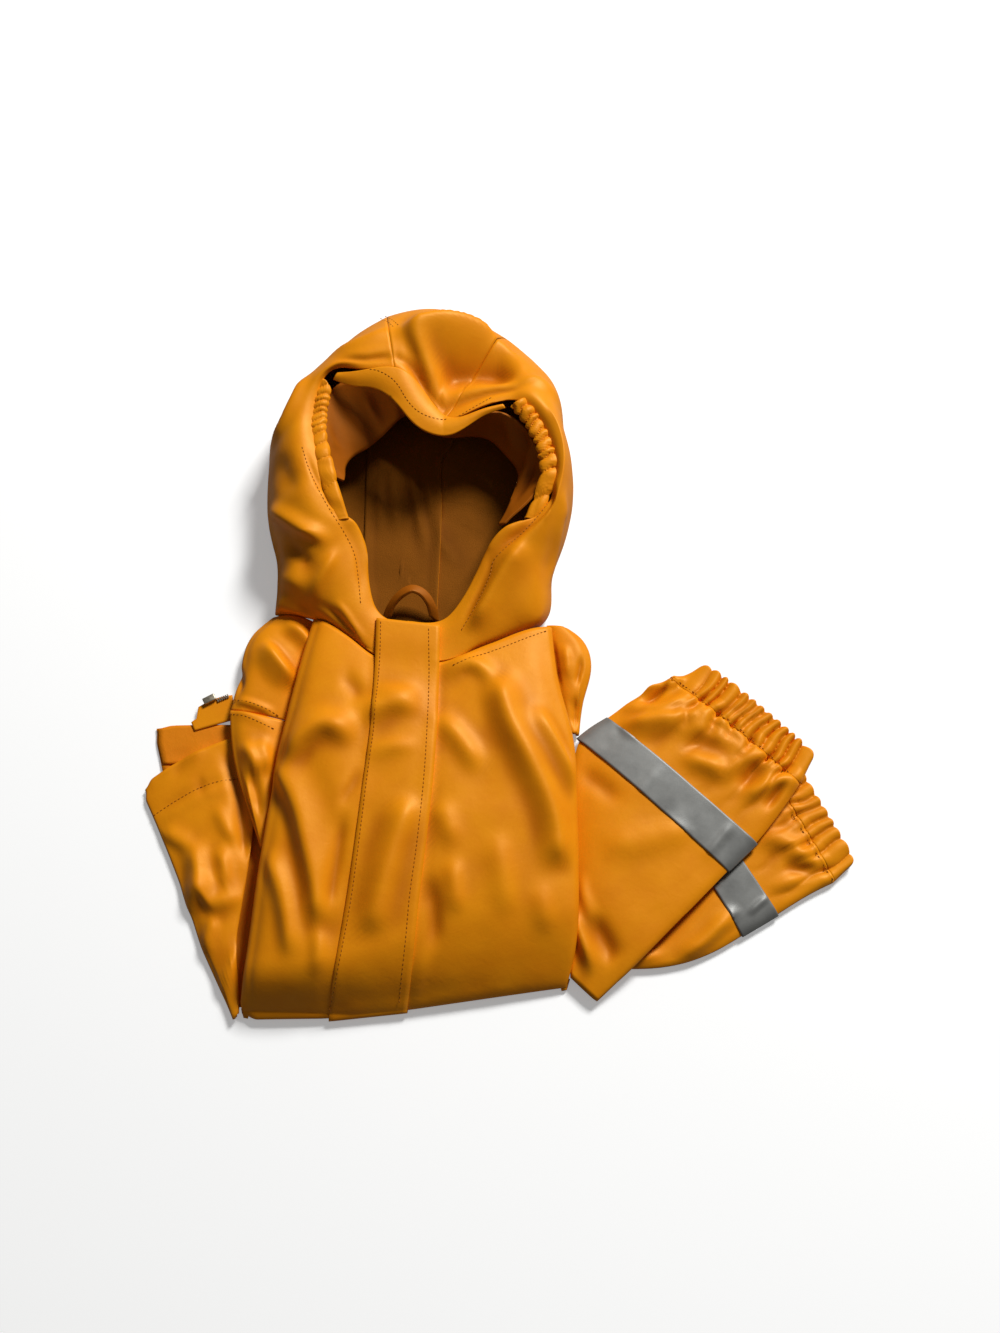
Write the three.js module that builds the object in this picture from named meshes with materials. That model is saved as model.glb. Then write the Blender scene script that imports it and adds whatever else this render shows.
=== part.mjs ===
// A child's hooded rain jacket in coated cloth, folded for the shelf and lying on its back.
// Both sides are folded behind the fronts, the lower half is folded up underneath, and the two
// sleeve ends come out beside the body. Millimetres, +Z up, +Y from the bottom fold to the hood.
// Left and right in the names are the wearer's.
import * as THREE from "three";

// ---- driving dimensions -------------------------------------------------------------------
const CLOTH = 1.8; // one layer of the coated cloth
const HEM = 1.1; // the turned-up edge of the hem
const TAPE = 0.8; // the reflective band
const GAP = 0.5; // air between neighbouring pieces
const SLEEVE_HEIGHT = 7.4; // a sleeve's two walls and the slit between them
const SIDE_FOLD_RADIUS = 7;
const BOTTOM_FOLD_RADIUS = 12;
const STACK_BASE = 2 * CLOTH + 3 * GAP; // top of the two layers that are folded underneath
const HOOD = { x: -72, y: 150, floorShare: 0.82, rollHeight: 13 };

const YELLOW = { color: 0xe8930f, roughness: 0.45, metalness: 0 };
const LINER = { color: 0x9a6a10, roughness: 0.85, metalness: 0 };
const REFLECTIVE = { color: 0x9a9a92, roughness: 0.4, metalness: 0.3 };
const HARDWARE = { color: 0x6e6248, roughness: 0.4, metalness: 0.2 };

const table = (columns, rows) => {
  const names = columns.split(" ");
  return rows.map((row) => Object.fromEntries(names.map((name, i) => [name, row[i]])));
};
const smooth = (t) => {
  const c = Math.min(1, Math.max(0, t));
  return c * c * (3 - 2 * c);
};
const mix = (a, b, t) => a + (b - a) * t;
const range = (count) => Array.from({ length: count + 1 }, (_, i) => i / count);
const vector = ({ x, y, z }) => new THREE.Vector3(x, y, z);

// ---- cloth built from rows of points --------------------------------------------------------
const jacket = new THREE.Group();

function addMesh(name, geometry, look) {
  const mesh = new THREE.Mesh(geometry, new THREE.MeshStandardMaterial(look));
  mesh.name = name;
  jacket.add(mesh);
  return mesh;
}

const smoothCurve = (points) => new THREE.CatmullRomCurve3(points.map(vector), false, "centripetal");

// A smooth line through a table of points, cut into equal steps.
const line = (points, steps) => smoothCurve(points).getSpacedPoints(steps);

// Unit normals of a grid of points; `ring` closes each row on itself.
function normals(rows, ring) {
  const last = rows.length - 1;
  return rows.map((row, i) =>
    row.map((_, j) => {
      const n = row.length;
      const before = ring ? row[(j + n - 1) % n] : row[Math.max(0, j - 1)];
      const after = ring ? row[(j + 1) % n] : row[Math.min(n - 1, j + 1)];
      const across = after.clone().sub(before);
      const along = rows[Math.min(last, i + 1)][j].clone().sub(rows[Math.max(0, i - 1)][j]);
      return along.cross(across).normalize();
    }),
  );
}

const offset = (rows, distance, ring = false) => {
  const out = normals(rows, ring);
  return rows.map((row, i) => row.map((p, j) => p.clone().addScaledVector(out[i][j], distance)));
};

// A closed solid between two grids of the same size: faces, undersides and the edges between.
function between(outer, inner, ring = false) {
  const columns = outer[0].length;
  const flat = [...outer.flat(), ...inner.flat()];
  const half = outer.length * columns;
  const at = (i, j, side) => side * half + i * columns + (j % columns);
  const index = [];
  const quad = (a, b, c, d) => index.push(a, b, c, a, c, d);
  const rowEnd = outer.length - 1;
  const columnEnd = ring ? columns : columns - 1;
  for (let i = 0; i < rowEnd; i++) {
    for (let j = 0; j < columnEnd; j++) {
      quad(at(i, j, 0), at(i + 1, j, 0), at(i + 1, j + 1, 0), at(i, j + 1, 0));
      quad(at(i, j, 1), at(i, j + 1, 1), at(i + 1, j + 1, 1), at(i + 1, j, 1));
    }
    if (!ring) {
      quad(at(i, 0, 1), at(i + 1, 0, 1), at(i + 1, 0, 0), at(i, 0, 0));
      quad(at(i, columnEnd, 0), at(i + 1, columnEnd, 0), at(i + 1, columnEnd, 1), at(i, columnEnd, 1));
    }
  }
  for (let j = 0; j < columnEnd; j++) {
    quad(at(0, j, 0), at(0, j + 1, 0), at(0, j + 1, 1), at(0, j, 1));
    quad(at(rowEnd, j, 1), at(rowEnd, j + 1, 1), at(rowEnd, j + 1, 0), at(rowEnd, j, 0));
  }
  const geometry = new THREE.BufferGeometry().setFromPoints(flat);
  geometry.setIndex(index);
  return geometry;
}

const wall = (rows, thickness = CLOTH, ring = false) => between(rows, offset(rows, -thickness, ring), ring);

// Rows that run from a left guide line to a right one, raised in the middle by `crown`.
function panel({ left, right, along, across, crown = 0, bow = 0 }) {
  const a = line(left, along);
  const b = line(right, along);
  return range(along).map((t, i) =>
    range(across).map((u) => {
      const p = a[i].clone().lerp(b[i], u);
      const hump = 4 * u * (1 - u);
      p.z += crown * Math.sqrt(hump) * Math.sqrt(Math.max(0, Math.sin(Math.PI * mix(0.15, 0.85, t))));
      p.y += bow * hump * (1 - t) ** 3;
      return p;
    }),
  );
}

// The points of a fold that starts at `edge` and turns down and under, away from `inside`.
function foldRound(edge, inside, radius, turn, steps) {
  const out = edge.clone().sub(inside).setZ(0).normalize();
  const start = edge.clone().addScaledVector(out, -radius);
  return range(steps).map((share) => {
    const angle = THREE.MathUtils.degToRad(turn * share);
    const p = start.clone().addScaledVector(out, radius * Math.sin(angle));
    p.z -= radius * (1 - Math.cos(angle));
    return p;
  });
}

const foldLeft = (rows, radius, turn, steps = 4) =>
  rows.map((row) => [...foldRound(row[0], row[1], radius, turn, steps).reverse(), ...row.slice(1)]);
const foldRight = (rows, radius, turn, steps = 4) =>
  rows.map((row) => [...row.slice(0, -1), ...foldRound(row.at(-1), row.at(-2), radius, turn, steps)]);

// Where a side has already turned under, the bottom fold is tighter and stays off the surface.
function foldBottom(rows, radius, turn, steps = 5) {
  const last = rows.at(-1);
  const inside = rows.at(-2);
  const drop = 1 - Math.cos(THREE.MathUtils.degToRad(turn));
  const folded = last.map((p, j) => foldRound(p, inside[j], Math.min(radius, (p.z - 2) / drop), turn, steps));
  return [...rows.slice(0, -1), ...range(steps).map((_, k) => folded.map((column) => column[k]))];
}

// ---- the upper body: two fronts and the storm flap, over the folded stack ---------------------
const GUIDES = {
  rightFold: table("x y z", [
    [-151, 39, 23],
    [-157, 12, 27],
    [-168, -45, 30],
    [-176, -98, 31],
    [-184, -170, 31],
    [-190, -235, 28],
    [-196, -275, 24],
  ]),
  flapEdge: table("x y z", [
    [-98, 1, 32],
    [-99, -50, 38],
    [-105, -110, 39],
    [-112, -176, 38],
    [-120, -230, 34],
    [-128, -274, 24],
  ]),
  flapSeam: table("x y z", [
    [-48, -3, 32],
    [-49, -60, 38],
    [-53, -120, 39],
    [-60, -186, 38],
    [-65, -235, 33],
    [-70, -268, 24],
  ]),
  leftFold: table("x y z", [
    [42, 30, 25],
    [46, -14, 28],
    [58, -60, 29],
    [60, -122, 29],
    [60, -180, 29],
    [58, -222, 27],
    [50, -251, 24],
  ]),
};
// The neck seam, where the hood is sewn to the shoulders and fronts.
const NECK = table("x y z", [
  [-184, 42, 9],
  [-172, 44, 14],
  [-160, 43, 18],
  [-150, 39, 23],
  [-137, 32, 27],
  [-124, 23, 29],
  [-111, 12, 31],
  [-98, 1, 32],
  [-85, -2, 32],
  [-60, -3, 32],
  [-38, -2, 32],
  [-21, 9, 31],
  [-6, 14, 30],
  [9, 22, 29],
  [25, 28, 27],
  [42, 31, 25],
]);
const neckLine = line(NECK, 80);

function neckPoint(x) {
  const found = neckLine.findIndex((p) => p.x >= x);
  const i = found < 1 ? (found === 0 ? 1 : neckLine.length - 1) : found;
  const [a, b] = [neckLine[i - 1], neckLine[i]];
  return a.clone().lerp(b, (x - a.x) / (b.x - a.x));
}

// The largest folds of the fronts: soft troughs and ridges from one point to another.
const FOLDS = table("x1 y1 x2 y2 height width", [
  [-170, -92, -128, -205, -4, 17],
  [-146, -40, -120, -110, 3, 15],
  [-135, -225, -175, -262, 3, 15],
  [-42, -25, -8, -95, -4, 15],
  [22, -50, 8, -120, 3, 16],
  [50, -130, 12, -205, -3, 16],
  [-30, -222, 40, -232, -4, 18],
]);

function pressFolds(p) {
  FOLDS.forEach(({ x1, y1, x2, y2, height, width }) => {
    const start = new THREE.Vector2(x1, y1);
    const way = new THREE.Vector2(x2, y2).sub(start);
    const here = new THREE.Vector2(p.x, p.y).sub(start);
    const t = THREE.MathUtils.clamp(here.dot(way) / way.lengthSq(), 0, 1);
    const away = here.addScaledVector(way, -t).length() / width;
    p.z += height * Math.exp(-away * away);
  });
}

const BODY_ROWS = 12;
const SIDE_COLUMNS = 6;
const FLAP_COLUMNS = 2;
const SIDE_FOLD_COLUMNS = 4;

function upperBody() {
  const side = { along: BODY_ROWS, across: SIDE_COLUMNS, crown: 5 };
  const right = panel({ ...side, left: GUIDES.rightFold, right: GUIDES.flapEdge });
  const left = panel({ ...side, left: GUIDES.flapSeam, right: GUIDES.leftFold });
  const middle = { along: BODY_ROWS, across: FLAP_COLUMNS, crown: 1 };
  const flap = panel({ ...middle, left: GUIDES.flapEdge, right: GUIDES.flapSeam });
  const rows = right.map((row, i) => [...row, ...flap[i].slice(1, -1), ...left[i]]);
  rows.flat().forEach(pressFolds);
  rows[0] = rows[0].map((p) => neckPoint(p.x));
  return rows;
}

const flatBody = upperBody();
const SIDE_FOLD = [SIDE_FOLD_RADIUS, 150, SIDE_FOLD_COLUMNS];
const sideFolds = foldRight(foldLeft(flatBody, ...SIDE_FOLD), ...SIDE_FOLD);
const body = foldBottom(sideFolds, BOTTOM_FOLD_RADIUS, 168);
const FLAP_EDGE = SIDE_FOLD_COLUMNS + SIDE_COLUMNS;
const CENTRE = FLAP_EDGE + FLAP_COLUMNS / 2;
const FLAP_SEAM = FLAP_EDGE + FLAP_COLUMNS;

function fronts() {
  const apart = (row, column, shift) => {
    const cut = row.map((p) => p.clone());
    cut[column].x += shift;
    return cut;
  };
  const right = body.map((row) => apart(row, CENTRE, -GAP / 2).slice(0, CENTRE + 1));
  const left = body.map((row) => apart(row, CENTRE, GAP / 2).slice(CENTRE));
  addMesh("right_front", wall(right), YELLOW);
  addMesh("left_front", wall(left), YELLOW);
}

// The flap lies on both fronts and runs on above them to the neck.
function stormFlap() {
  const onBody = offset(body, CLOTH + GAP).slice(0, -1).map((row) => row.slice(FLAP_EDGE, FLAP_SEAM + 1));
  const neck = table("y z", [
    [34, 35],
    [16, 36],
  ]).map(({ y, z }) => onBody[0].map((p, j) => new THREE.Vector3(p.x, y - 3 * j, z)));
  addMesh("storm_flap", wall([...neck, ...onBody]), YELLOW);
}

// Back, turned-in sides and hidden sleeve lengths as one rounded stack with its layers grooved.
// Each level is a share of the stack's height, drawn in from the edge where a groove runs.
const STACK_LEVELS = table("share inward", [
  [0.78, 0.5],
  [0.74, 3.5],
  [0.52, 3.5],
  [0.48, 0.5],
  [0.26, 0.5],
  [0.22, 3.5],
  [0, 3.5],
]);

function foldedStack() {
  const inset = (edge, inside, by) => foldRound(edge, inside, by, 0, 1)[0];
  const top = offset(flatBody, -(CLOTH + 2 * GAP + 0.1)).map((row) => [
    inset(row[0], row[1], SIDE_FOLD_RADIUS),
    ...row.slice(1, -1),
    inset(row.at(-1), row.at(-2), SIDE_FOLD_RADIUS),
  ]);
  top[0].forEach((p, j) => p.lerp(top[1][j], 0.5));
  top.push(top.pop().map((p, j) => inset(p, top.at(-1)[j], BOTTOM_FOLD_RADIUS + 1)));
  const columns = top[0].length;
  const last = top.length - 1;
  const edge = [
    ...top[0],
    ...top.slice(1).map((row) => row.at(-1)),
    ...top[last].slice(0, -1).reverse(),
    ...top.slice(1, last).map((row) => row[0]).reverse(),
  ];
  const centre = new THREE.Vector3(-70, -120, STACK_BASE);
  const points = top.flat();
  const index = [];
  for (let i = 0; i < last; i++) {
    for (let j = 0; j < columns - 1; j++) {
      const a = i * columns + j;
      const b = a + columns;
      index.push(a, b, b + 1, a, b + 1, a + 1);
    }
  }
  let ring = edge.map((p) => points.indexOf(p));
  STACK_LEVELS.forEach(({ share, inward }) => {
    const next = edge.map((p) => {
      const pull = centre.clone().sub(p).setZ(0).normalize();
      const q = p.clone().addScaledVector(pull, inward);
      q.z = mix(STACK_BASE, p.z, share);
      return points.push(q) - 1;
    });
    ring.forEach((a, n) => {
      const m = (n + 1) % ring.length;
      index.push(a, ring[m], next[m], a, next[m], next[n]);
    });
    ring = next;
  });
  const base = points.push(centre) - 1;
  ring.forEach((a, n) => index.push(a, ring[(n + 1) % ring.length], base));
  const geometry = new THREE.BufferGeometry().setFromPoints(points);
  geometry.setIndex(index);
  addMesh("folded_layers", geometry, YELLOW);
}

// ---- the lower half, folded up under the body --------------------------------------------------
function lowerHalf() {
  const frontLeft = table("x y z", [
    [-277, -46, 1.8],
    [-271, -66, 1.8],
    [-262, -100, 1.8],
    [-232, -190, 1.8],
    [-205, -258, 1.8],
  ]);
  const frontRight = table("x y z", [
    [20, -72, 1.8],
    [30, -110, 1.8],
    [38, -170, 1.8],
    [42, -236, 1.8],
  ]);
  const front = panel({ left: frontLeft, right: frontRight, along: 8, across: 8, bow: 10 });
  addMesh("lower_fronts", wall(front), YELLOW);
  // The hem's turn-up lies on the inside of the lower fronts, along their top edge.
  const turnUp = [0.02, 0.6, 1.15].map((depth) =>
    front[0].slice(0, 5).map((p, j) => {
      const q = p.clone().lerp(front[1][j], depth).setZ(CLOTH + GAP + HEM);
      q.x += j === 0 ? 1.5 : 0;
      return q;
    }),
  );
  addMesh("lower_front_hem", wall(turnUp, HEM), YELLOW);

  const backLeft = table("x y z", [
    [-283, -97, 5],
    [-271, -120, 5.5],
    [-252, -160, 6],
    [-236, -197, 6],
    [-223, -232, 6],
    [-209, -266, 5.5],
  ]);
  const backRight = table("x y z", [
    [-196, -52, 6],
    [-192, -90, 6.5],
    [-192, -130, 8],
    [-196, -180, 9],
    [-201, -220, 9],
    [-204, -262, 7],
  ]);
  const back = panel({ left: backLeft, right: backRight, along: 10, across: 6, crown: 3, bow: 6 });
  addMesh("lower_back", wall(foldLeft(back, 2.2, 90, 2)), YELLOW);
}

// The end of the zip that closes the fronts under the flap, seen past the lower front's hem.
function zipEnd() {
  const rows = panel({
    left: table("x y z", [[-246, -34.5, 4.8], [-243, -41, 4.8]]),
    right: table("x y z", [[-215, -21, 4.8], [-213, -32, 4.8]]),
    along: 1,
    across: 4,
    bow: 3,
  });
  addMesh("zip_tape_end", wall(rows, 1.2), YELLOW);
  const box = addMesh("zip_end_box", new THREE.BoxGeometry(11, 6.5, 3.6), HARDWARE);
  box.position.set(-232.5, -25, 7.2);
  box.rotation.z = THREE.MathUtils.degToRad(26);
}

// ---- shoulders and sleeve heads ----------------------------------------------------------------
function shoulders() {
  const yoke = panel({
    left: table("x y z", [
      [-184, 41.5, 9],
      [-190, 30, 11],
      [-205, 12, 14],
      [-210, -14, 16],
      [-214, -36, 17],
    ]),
    right: table("x y z", [
      [-148, 37, 9.5],
      [-152, 14, 10],
      [-156, -5, 11],
      [-161, -25, 11],
      [-165, -45, 11],
    ]),
    along: 7,
    across: 5,
    crown: 7,
  });
  yoke[0] = yoke[0].map((p) => {
    const seam = neckPoint(p.x);
    return new THREE.Vector3(p.x, seam.y - GAP, Math.min(p.z, seam.z));
  });
  addMesh("right_shoulder", wall(foldLeft(yoke, 5, 130, 3)), YELLOW);
  const head = panel({
    left: table("x y z", [
      [-214, -37, 17],
      [-212, -60, 16],
      [-207, -84, 16],
      [-197, -112, 15],
      [-185, -145, 13],
    ]),
    right: table("x y z", [
      [-165, -46, 11],
      [-168, -72, 11],
      [-172, -95, 11],
      [-175, -120, 11],
      [-176, -147, 11],
    ]),
    along: 6,
    across: 5,
    crown: 7,
  });
  addMesh("right_sleeve_head", wall(foldLeft(head, 3, 105, 3)), YELLOW);
  const leftHead = panel({
    left: table("x y z", [
      [38, 36, 11],
      [40, 12, 11],
      [43, -12, 11],
      [50, -34, 10],
      [54, -54, 9],
    ]),
    right: table("x y z", [
      [56, 34, 11],
      [70, 22, 13],
      [74, -3, 13],
      [67, -24, 12],
      [63, -54, 9],
    ]),
    along: 7,
    across: 4,
    crown: 4,
  });
  addMesh("left_sleeve_head", wall(foldRight(leftHead, 4, 130, 3)), YELLOW);
}

// ---- sleeve ends: flattened tubes with a slit between their walls -------------------------------
const RING = 18;
const SEAM_SHARE = 0.03; // of a ring's spacing, left open at the cuff's seam

// Rings round a sleeve at the given stops, counted in sections from its end. Each row of the table
// is one section: its two edges in plan and the height its walls start at.
function sleeveRings(sections, stops) {
  const guide = (x, y, z) => {
    const curve = smoothCurve(sections.map((s) => ({ x: s[x], y: s[y], z: s[z] })));
    return stops.map((stop) => curve.getPoint(stop / (sections.length - 1)));
  };
  const a = guide("leftX", "leftY", "leftZ");
  const b = guide("rightX", "rightY", "rightZ");
  return a.map((p, i) => range(RING - 1).map((_, k) => {
    const turn = (-2 * Math.PI * k) / RING;
    const u = 0.5 + 0.5 * Math.sign(Math.cos(turn)) * Math.abs(Math.cos(turn)) ** 0.8;
    const q = p.clone().lerp(b[i], u);
    q.z = mix(p.z, b[i].z, smooth(u / 0.35)) + SLEEVE_HEIGHT / 2;
    q.z += (SLEEVE_HEIGHT / 2) * Math.sign(Math.sin(turn)) * Math.abs(Math.sin(turn)) ** 0.45;
    return q;
  }));
}

function sleeveEnd(side, sections, { stops, cuffRows, bandRows }) {
  const rings = sleeveRings(sections, stops);
  const beforeSeam = rings[cuffRows].map((p, j) => p.clone().lerp(rings[cuffRows - 1][j], SEAM_SHARE));
  const cuff = [...rings.slice(0, cuffRows), beforeSeam];
  const band = offset(rings, GAP + TAPE, true).slice(bandRows[0], bandRows[1] + 1);
  addMesh(side + "_cuff", wall(cuff, CLOTH, true), YELLOW);
  addMesh(side + "_sleeve", wall(rings.slice(cuffRows), CLOTH, true), YELLOW);
  addMesh(side + "_reflective_band", wall(band, TAPE, true), REFLECTIVE);
}

const SLEEVE_COLUMNS = "leftX leftY leftZ rightX rightY rightZ";

function sleeves() {
  sleeveEnd(
    "left",
    table(SLEEVE_COLUMNS, [
      [160, 8, 4, 251, -77, 11],
      [137, -9, 2, 233, -97, 11.5],
      [111, -22, 2, 216, -120, 11.5],
      [86, -41, 2, 197, -143, 11.5],
      [62, -58, 3, 174, -164, 11.5],
      [56, -90, 5, 150, -188, 11.5],
      [55, -125, 5.5, 128, -209, 11.5],
      [55, -165, 5.5, 108, -229, 11],
      [55, -205, 5, 90, -246, 7],
      [53, -243, 3, 73, -261, 2],
    ]),
    {
      stops: [0, 0.5, 1, 1.6, 2.3, 3, 3.5, 4, 4.8, 5.6, 6.4, 7.2, 8.1, 9],
      cuffRows: 2,
      bandRows: [5, 7],
    },
  );
  sleeveEnd(
    "right",
    table(SLEEVE_COLUMNS, [
      [224, -60, 1.4, 277, -161, 1.4],
      [204, -68, 1.4, 258, -171, 1.4],
      [180, -80, 1.4, 238, -180, 1.4],
      [150, -96, 1.4, 212, -196, 1.4],
      [126, -106, 1.4, 184, -212, 1.4],
      [100, -120, 1.4, 160, -226, 1.4],
      [76, -136, 1.4, 128, -236, 1.4],
      [64, -150, 1.4, 92, -237, 1.4],
    ]),
    {
      stops: [0, 0.5, 1, 1.6, 2.3, 3, 3.5, 4, 4.8, 5.6, 6.3, 7],
      cuffRows: 2,
      bandRows: [5, 7],
    },
  );
}

// ---- the hood: a bowl that lies on its back with its opening up --------------------------------
// Stations go round from the wearer's left (0 degrees) by the crown (90): the outline on the
// surface, the crest of the cloth, the opening's rim, and the free edge of the facing inside.
const STATIONS = table("deg out crest crestZ rim rimZ facing facingZ", [
  [-90, 152, 136, 31.4, 117, 30, 106, 26],
  [-77, 155, 138, 32, 121, 30, 108, 26],
  [-68, 150, 130, 36, 110, 34, 100, 28],
  [-56, 151, 120, 42, 95, 38, 86, 30],
  [-45, 160, 116, 48, 87, 44, 79, 32],
  [-34, 137, 112, 54, 86, 50, 77, 34],
  [-20, 133, 116, 60, 93, 55, 79, 34],
  [-3, 133, 122, 64, 105, 58, 84, 34],
  [9, 134, 125, 66, 105, 60, 88, 32],
  [23, 137, 125, 66, 102, 60, 81, 30],
  [38, 156, 120, 66, 95, 64, 76, 30],
  [50, 161, 114, 62, 62, 62, 56, 34],
  [64, 168, 112, 60, 57, 58, 50, 34],
  [80, 174, 130, 62, 72, 60, 60, 34],
  [94, 170, 124, 68, 88, 66, 66, 34],
  [105, 159, 117, 70, 93, 67, 60, 32],
  [116, 146, 113, 70, 96, 66, 54, 30],
  [126, 138, 115, 66, 105, 62, 52, 30],
  [138, 135, 116, 62, 92, 58, 52, 30],
  [150, 131, 109, 62, 81, 58, 56, 30],
  [164, 126, 98, 64, 68, 60, 55, 34],
  [180, 122, 92, 64, 61, 60, 48, 38],
  [196, 124, 90, 62, 60, 58, 50, 38],
  [212, 128, 88, 56, 57, 52, 48, 34],
  [224, 153, 95, 49, 59, 43, 49, 31],
  [240, 134, 100, 42, 70, 36, 58, 28],
  [250, 139, 118, 37, 96, 33, 84, 27],
  [257, 152, 134, 32, 117, 30, 104, 26],
  [270, 152, 136, 31.4, 117, 30, 106, 26],
]);

// The stations' sizes at any angle, eased from row to row.
function station(deg) {
  const i = STATIONS.findIndex((s) => s.deg > deg) - 1;
  const row = (k) => STATIONS[THREE.MathUtils.clamp(i + k, 0, STATIONS.length - 1)];
  const [before, a, b, after] = [row(-1), row(0), row(1), row(2)];
  const step = b.deg - a.deg;
  const t = (deg - a.deg) / step;
  const ease = (name) => {
    const start = ((b[name] - before[name]) / (b.deg - before.deg)) * step;
    const end = ((after[name] - a[name]) / (after.deg - a.deg)) * step;
    const rise = b[name] - a[name];
    return a[name] + start * t + (3 * rise - 2 * start - end) * t ** 2 + (start + end - 2 * rise) * t ** 3;
  };
  return Object.fromEntries(Object.keys(a).map((name) => [name, name === "deg" ? deg : ease(name)]));
}

const polar = (deg, radius, z) => {
  const angle = THREE.MathUtils.degToRad(deg);
  return new THREE.Vector3(HOOD.x + radius * Math.cos(angle), HOOD.y + radius * Math.sin(angle), z);
};

// Seams of the centre panel where the back of the hood lies on the surface.
const CENTRE_SEAM = { left: -52, right: -110 };

// The outline's radius and height. Along the neck it follows the seam, just inside it.
function outline(deg) {
  const turned = (deg + 360) % 360;
  const around = neckLine.map((p) => {
    const angle = (THREE.MathUtils.radToDeg(Math.atan2(p.y - HOOD.y, p.x - HOOD.x)) + 360) % 360;
    return { angle, radius: Math.hypot(p.x - HOOD.x, p.y - HOOD.y), z: p.z };
  });
  const i = around.findIndex((p) => p.angle >= turned);
  if (i < 1) return { radius: station(deg).out, z: HOOD.rollHeight };
  const [a, b] = [around[i - 1], around[i]];
  const t = (turned - a.angle) / (b.angle - a.angle);
  return { radius: mix(a.radius, b.radius, t) - 2.4 * GAP, z: mix(a.z, b.z, t) };
}

const floorRadius = (deg) => {
  const s = station(deg);
  const seam = Math.cos(THREE.MathUtils.degToRad(deg)) > 0 ? CENTRE_SEAM.left : CENTRE_SEAM.right;
  const toSeam = (seam - HOOD.x) / Math.cos(THREE.MathUtils.degToRad(deg));
  return Math.min(s.out * HOOD.floorShare, toSeam);
};

// The gathered casings that hold the elastic take the hood's edge on each side of the brim.
const CASING = { width: 11, height: 5, runs: { left: [-12, 35], right: [131, 200] } };

// How far the hood's own cloth stops short of the opening, behind a casing.
function panelRim(deg) {
  const s = station(deg);
  const turned = deg > 270 ? deg - 360 : deg;
  const shares = Object.values(CASING.runs).map(([from, to]) =>
    1 - smooth(Math.max(from - 10 - turned, turned - to - 10, 0) / 8));
  return Math.max(s.rim, mix(s.rim, Math.min(s.rim + CASING.width + 1, s.crest - 2), Math.max(...shares)));
}

// From the floor, round the outline and over the crest to the rim.
function hoodProfile(deg, floor) {
  const s = station(deg);
  const { radius, z } = outline(deg);
  const span = radius - s.crest;
  const rise = s.crestZ - z;
  const rim = panelRim(deg);
  return [
    polar(deg, floor, 0),
    polar(deg, mix(floor, radius - 7, 0.5), 0),
    polar(deg, radius - 7, 0.6),
    polar(deg, radius - 1, z * 0.45),
    polar(deg, radius, z),
    polar(deg, radius - span * 0.16, z + rise * 0.42),
    polar(deg, radius - span * 0.48, z + rise * 0.8),
    polar(deg, s.crest, s.crestZ),
    polar(deg, mix(s.crest, rim, 0.55), mix(s.crestZ, s.rimZ, 0.35) + 0.8),
    polar(deg, rim, s.rimZ),
  ];
}

const HOOD_NECK = { left: -89.8, right: 269.8 }; // both ends meet under the flap
const CROWN = { left: 61, right: 99 };
const SEAM_ANGLE = 0.15; // half the gap at a seam, in degrees

function hood() {
  const sector = (from, to, steps) =>
    range(steps).map((t) => hoodProfile(mix(from, to, t), floorRadius(mix(from, to, t))));
  addMesh("hood_left_panel", wall(sector(HOOD_NECK.left, CROWN.left - SEAM_ANGLE, 22)), YELLOW);
  addMesh("hood_right_panel", wall(sector(CROWN.right + SEAM_ANGLE, HOOD_NECK.right, 22)), YELLOW);

  // The centre panel runs from the brim over the crown and along the surface to the nape.
  const crown = range(6).map((t) => {
    const deg = mix(CROWN.left + SEAM_ANGLE, CROWN.right - SEAM_ANGLE, t);
    return hoodProfile(deg, station(deg).out * HOOD.floorShare).reverse();
  });
  const down = crown[0].map((_, i) => crown.map((column) => column[i]).reverse());
  const floor = table("y right left", [
    [262, CENTRE_SEAM.right + 1, CENTRE_SEAM.left + 40],
    [235, CENTRE_SEAM.right + 1, CENTRE_SEAM.left + 25],
    [208, CENTRE_SEAM.right, CENTRE_SEAM.left + 9],
    [186, CENTRE_SEAM.right, CENTRE_SEAM.left - 3],
    [160, CENTRE_SEAM.right, CENTRE_SEAM.left],
    [120, CENTRE_SEAM.right, CENTRE_SEAM.left],
    [70, CENTRE_SEAM.right, CENTRE_SEAM.left - 2],
    [40, CENTRE_SEAM.right + 10, CENTRE_SEAM.left - 3],
  ]);
  const along = floor.map(({ y, right, left }) =>
    range(6).map((u) => new THREE.Vector3(mix(right + GAP / 2, left - GAP / 2, u), y, 0)));
  addMesh("hood_centre_panel", wall([...down, ...along].reverse()), YELLOW);
}

function hoodFacing() {
  const from = -28;
  const to = 182;
  const rows = range(24).map((t) => {
    const deg = mix(from, to, t);
    const s = station(deg);
    const inward = 3.4;
    const end = Math.min(1, Math.min(t, 1 - t) * 12 + 0.25);
    const free = mix(s.rim - inward - 4, s.facing, end);
    const height = mix(s.rimZ - 9, s.facingZ, end);
    const across = (u) => polar(deg, mix(s.rim - inward, free, u), mix(s.rimZ - 5, height, u));
    return [0, 0.4, 1].map(across);
  });
  addMesh("hood_facing", wall(rows, 1.4), LINER);
}

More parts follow.
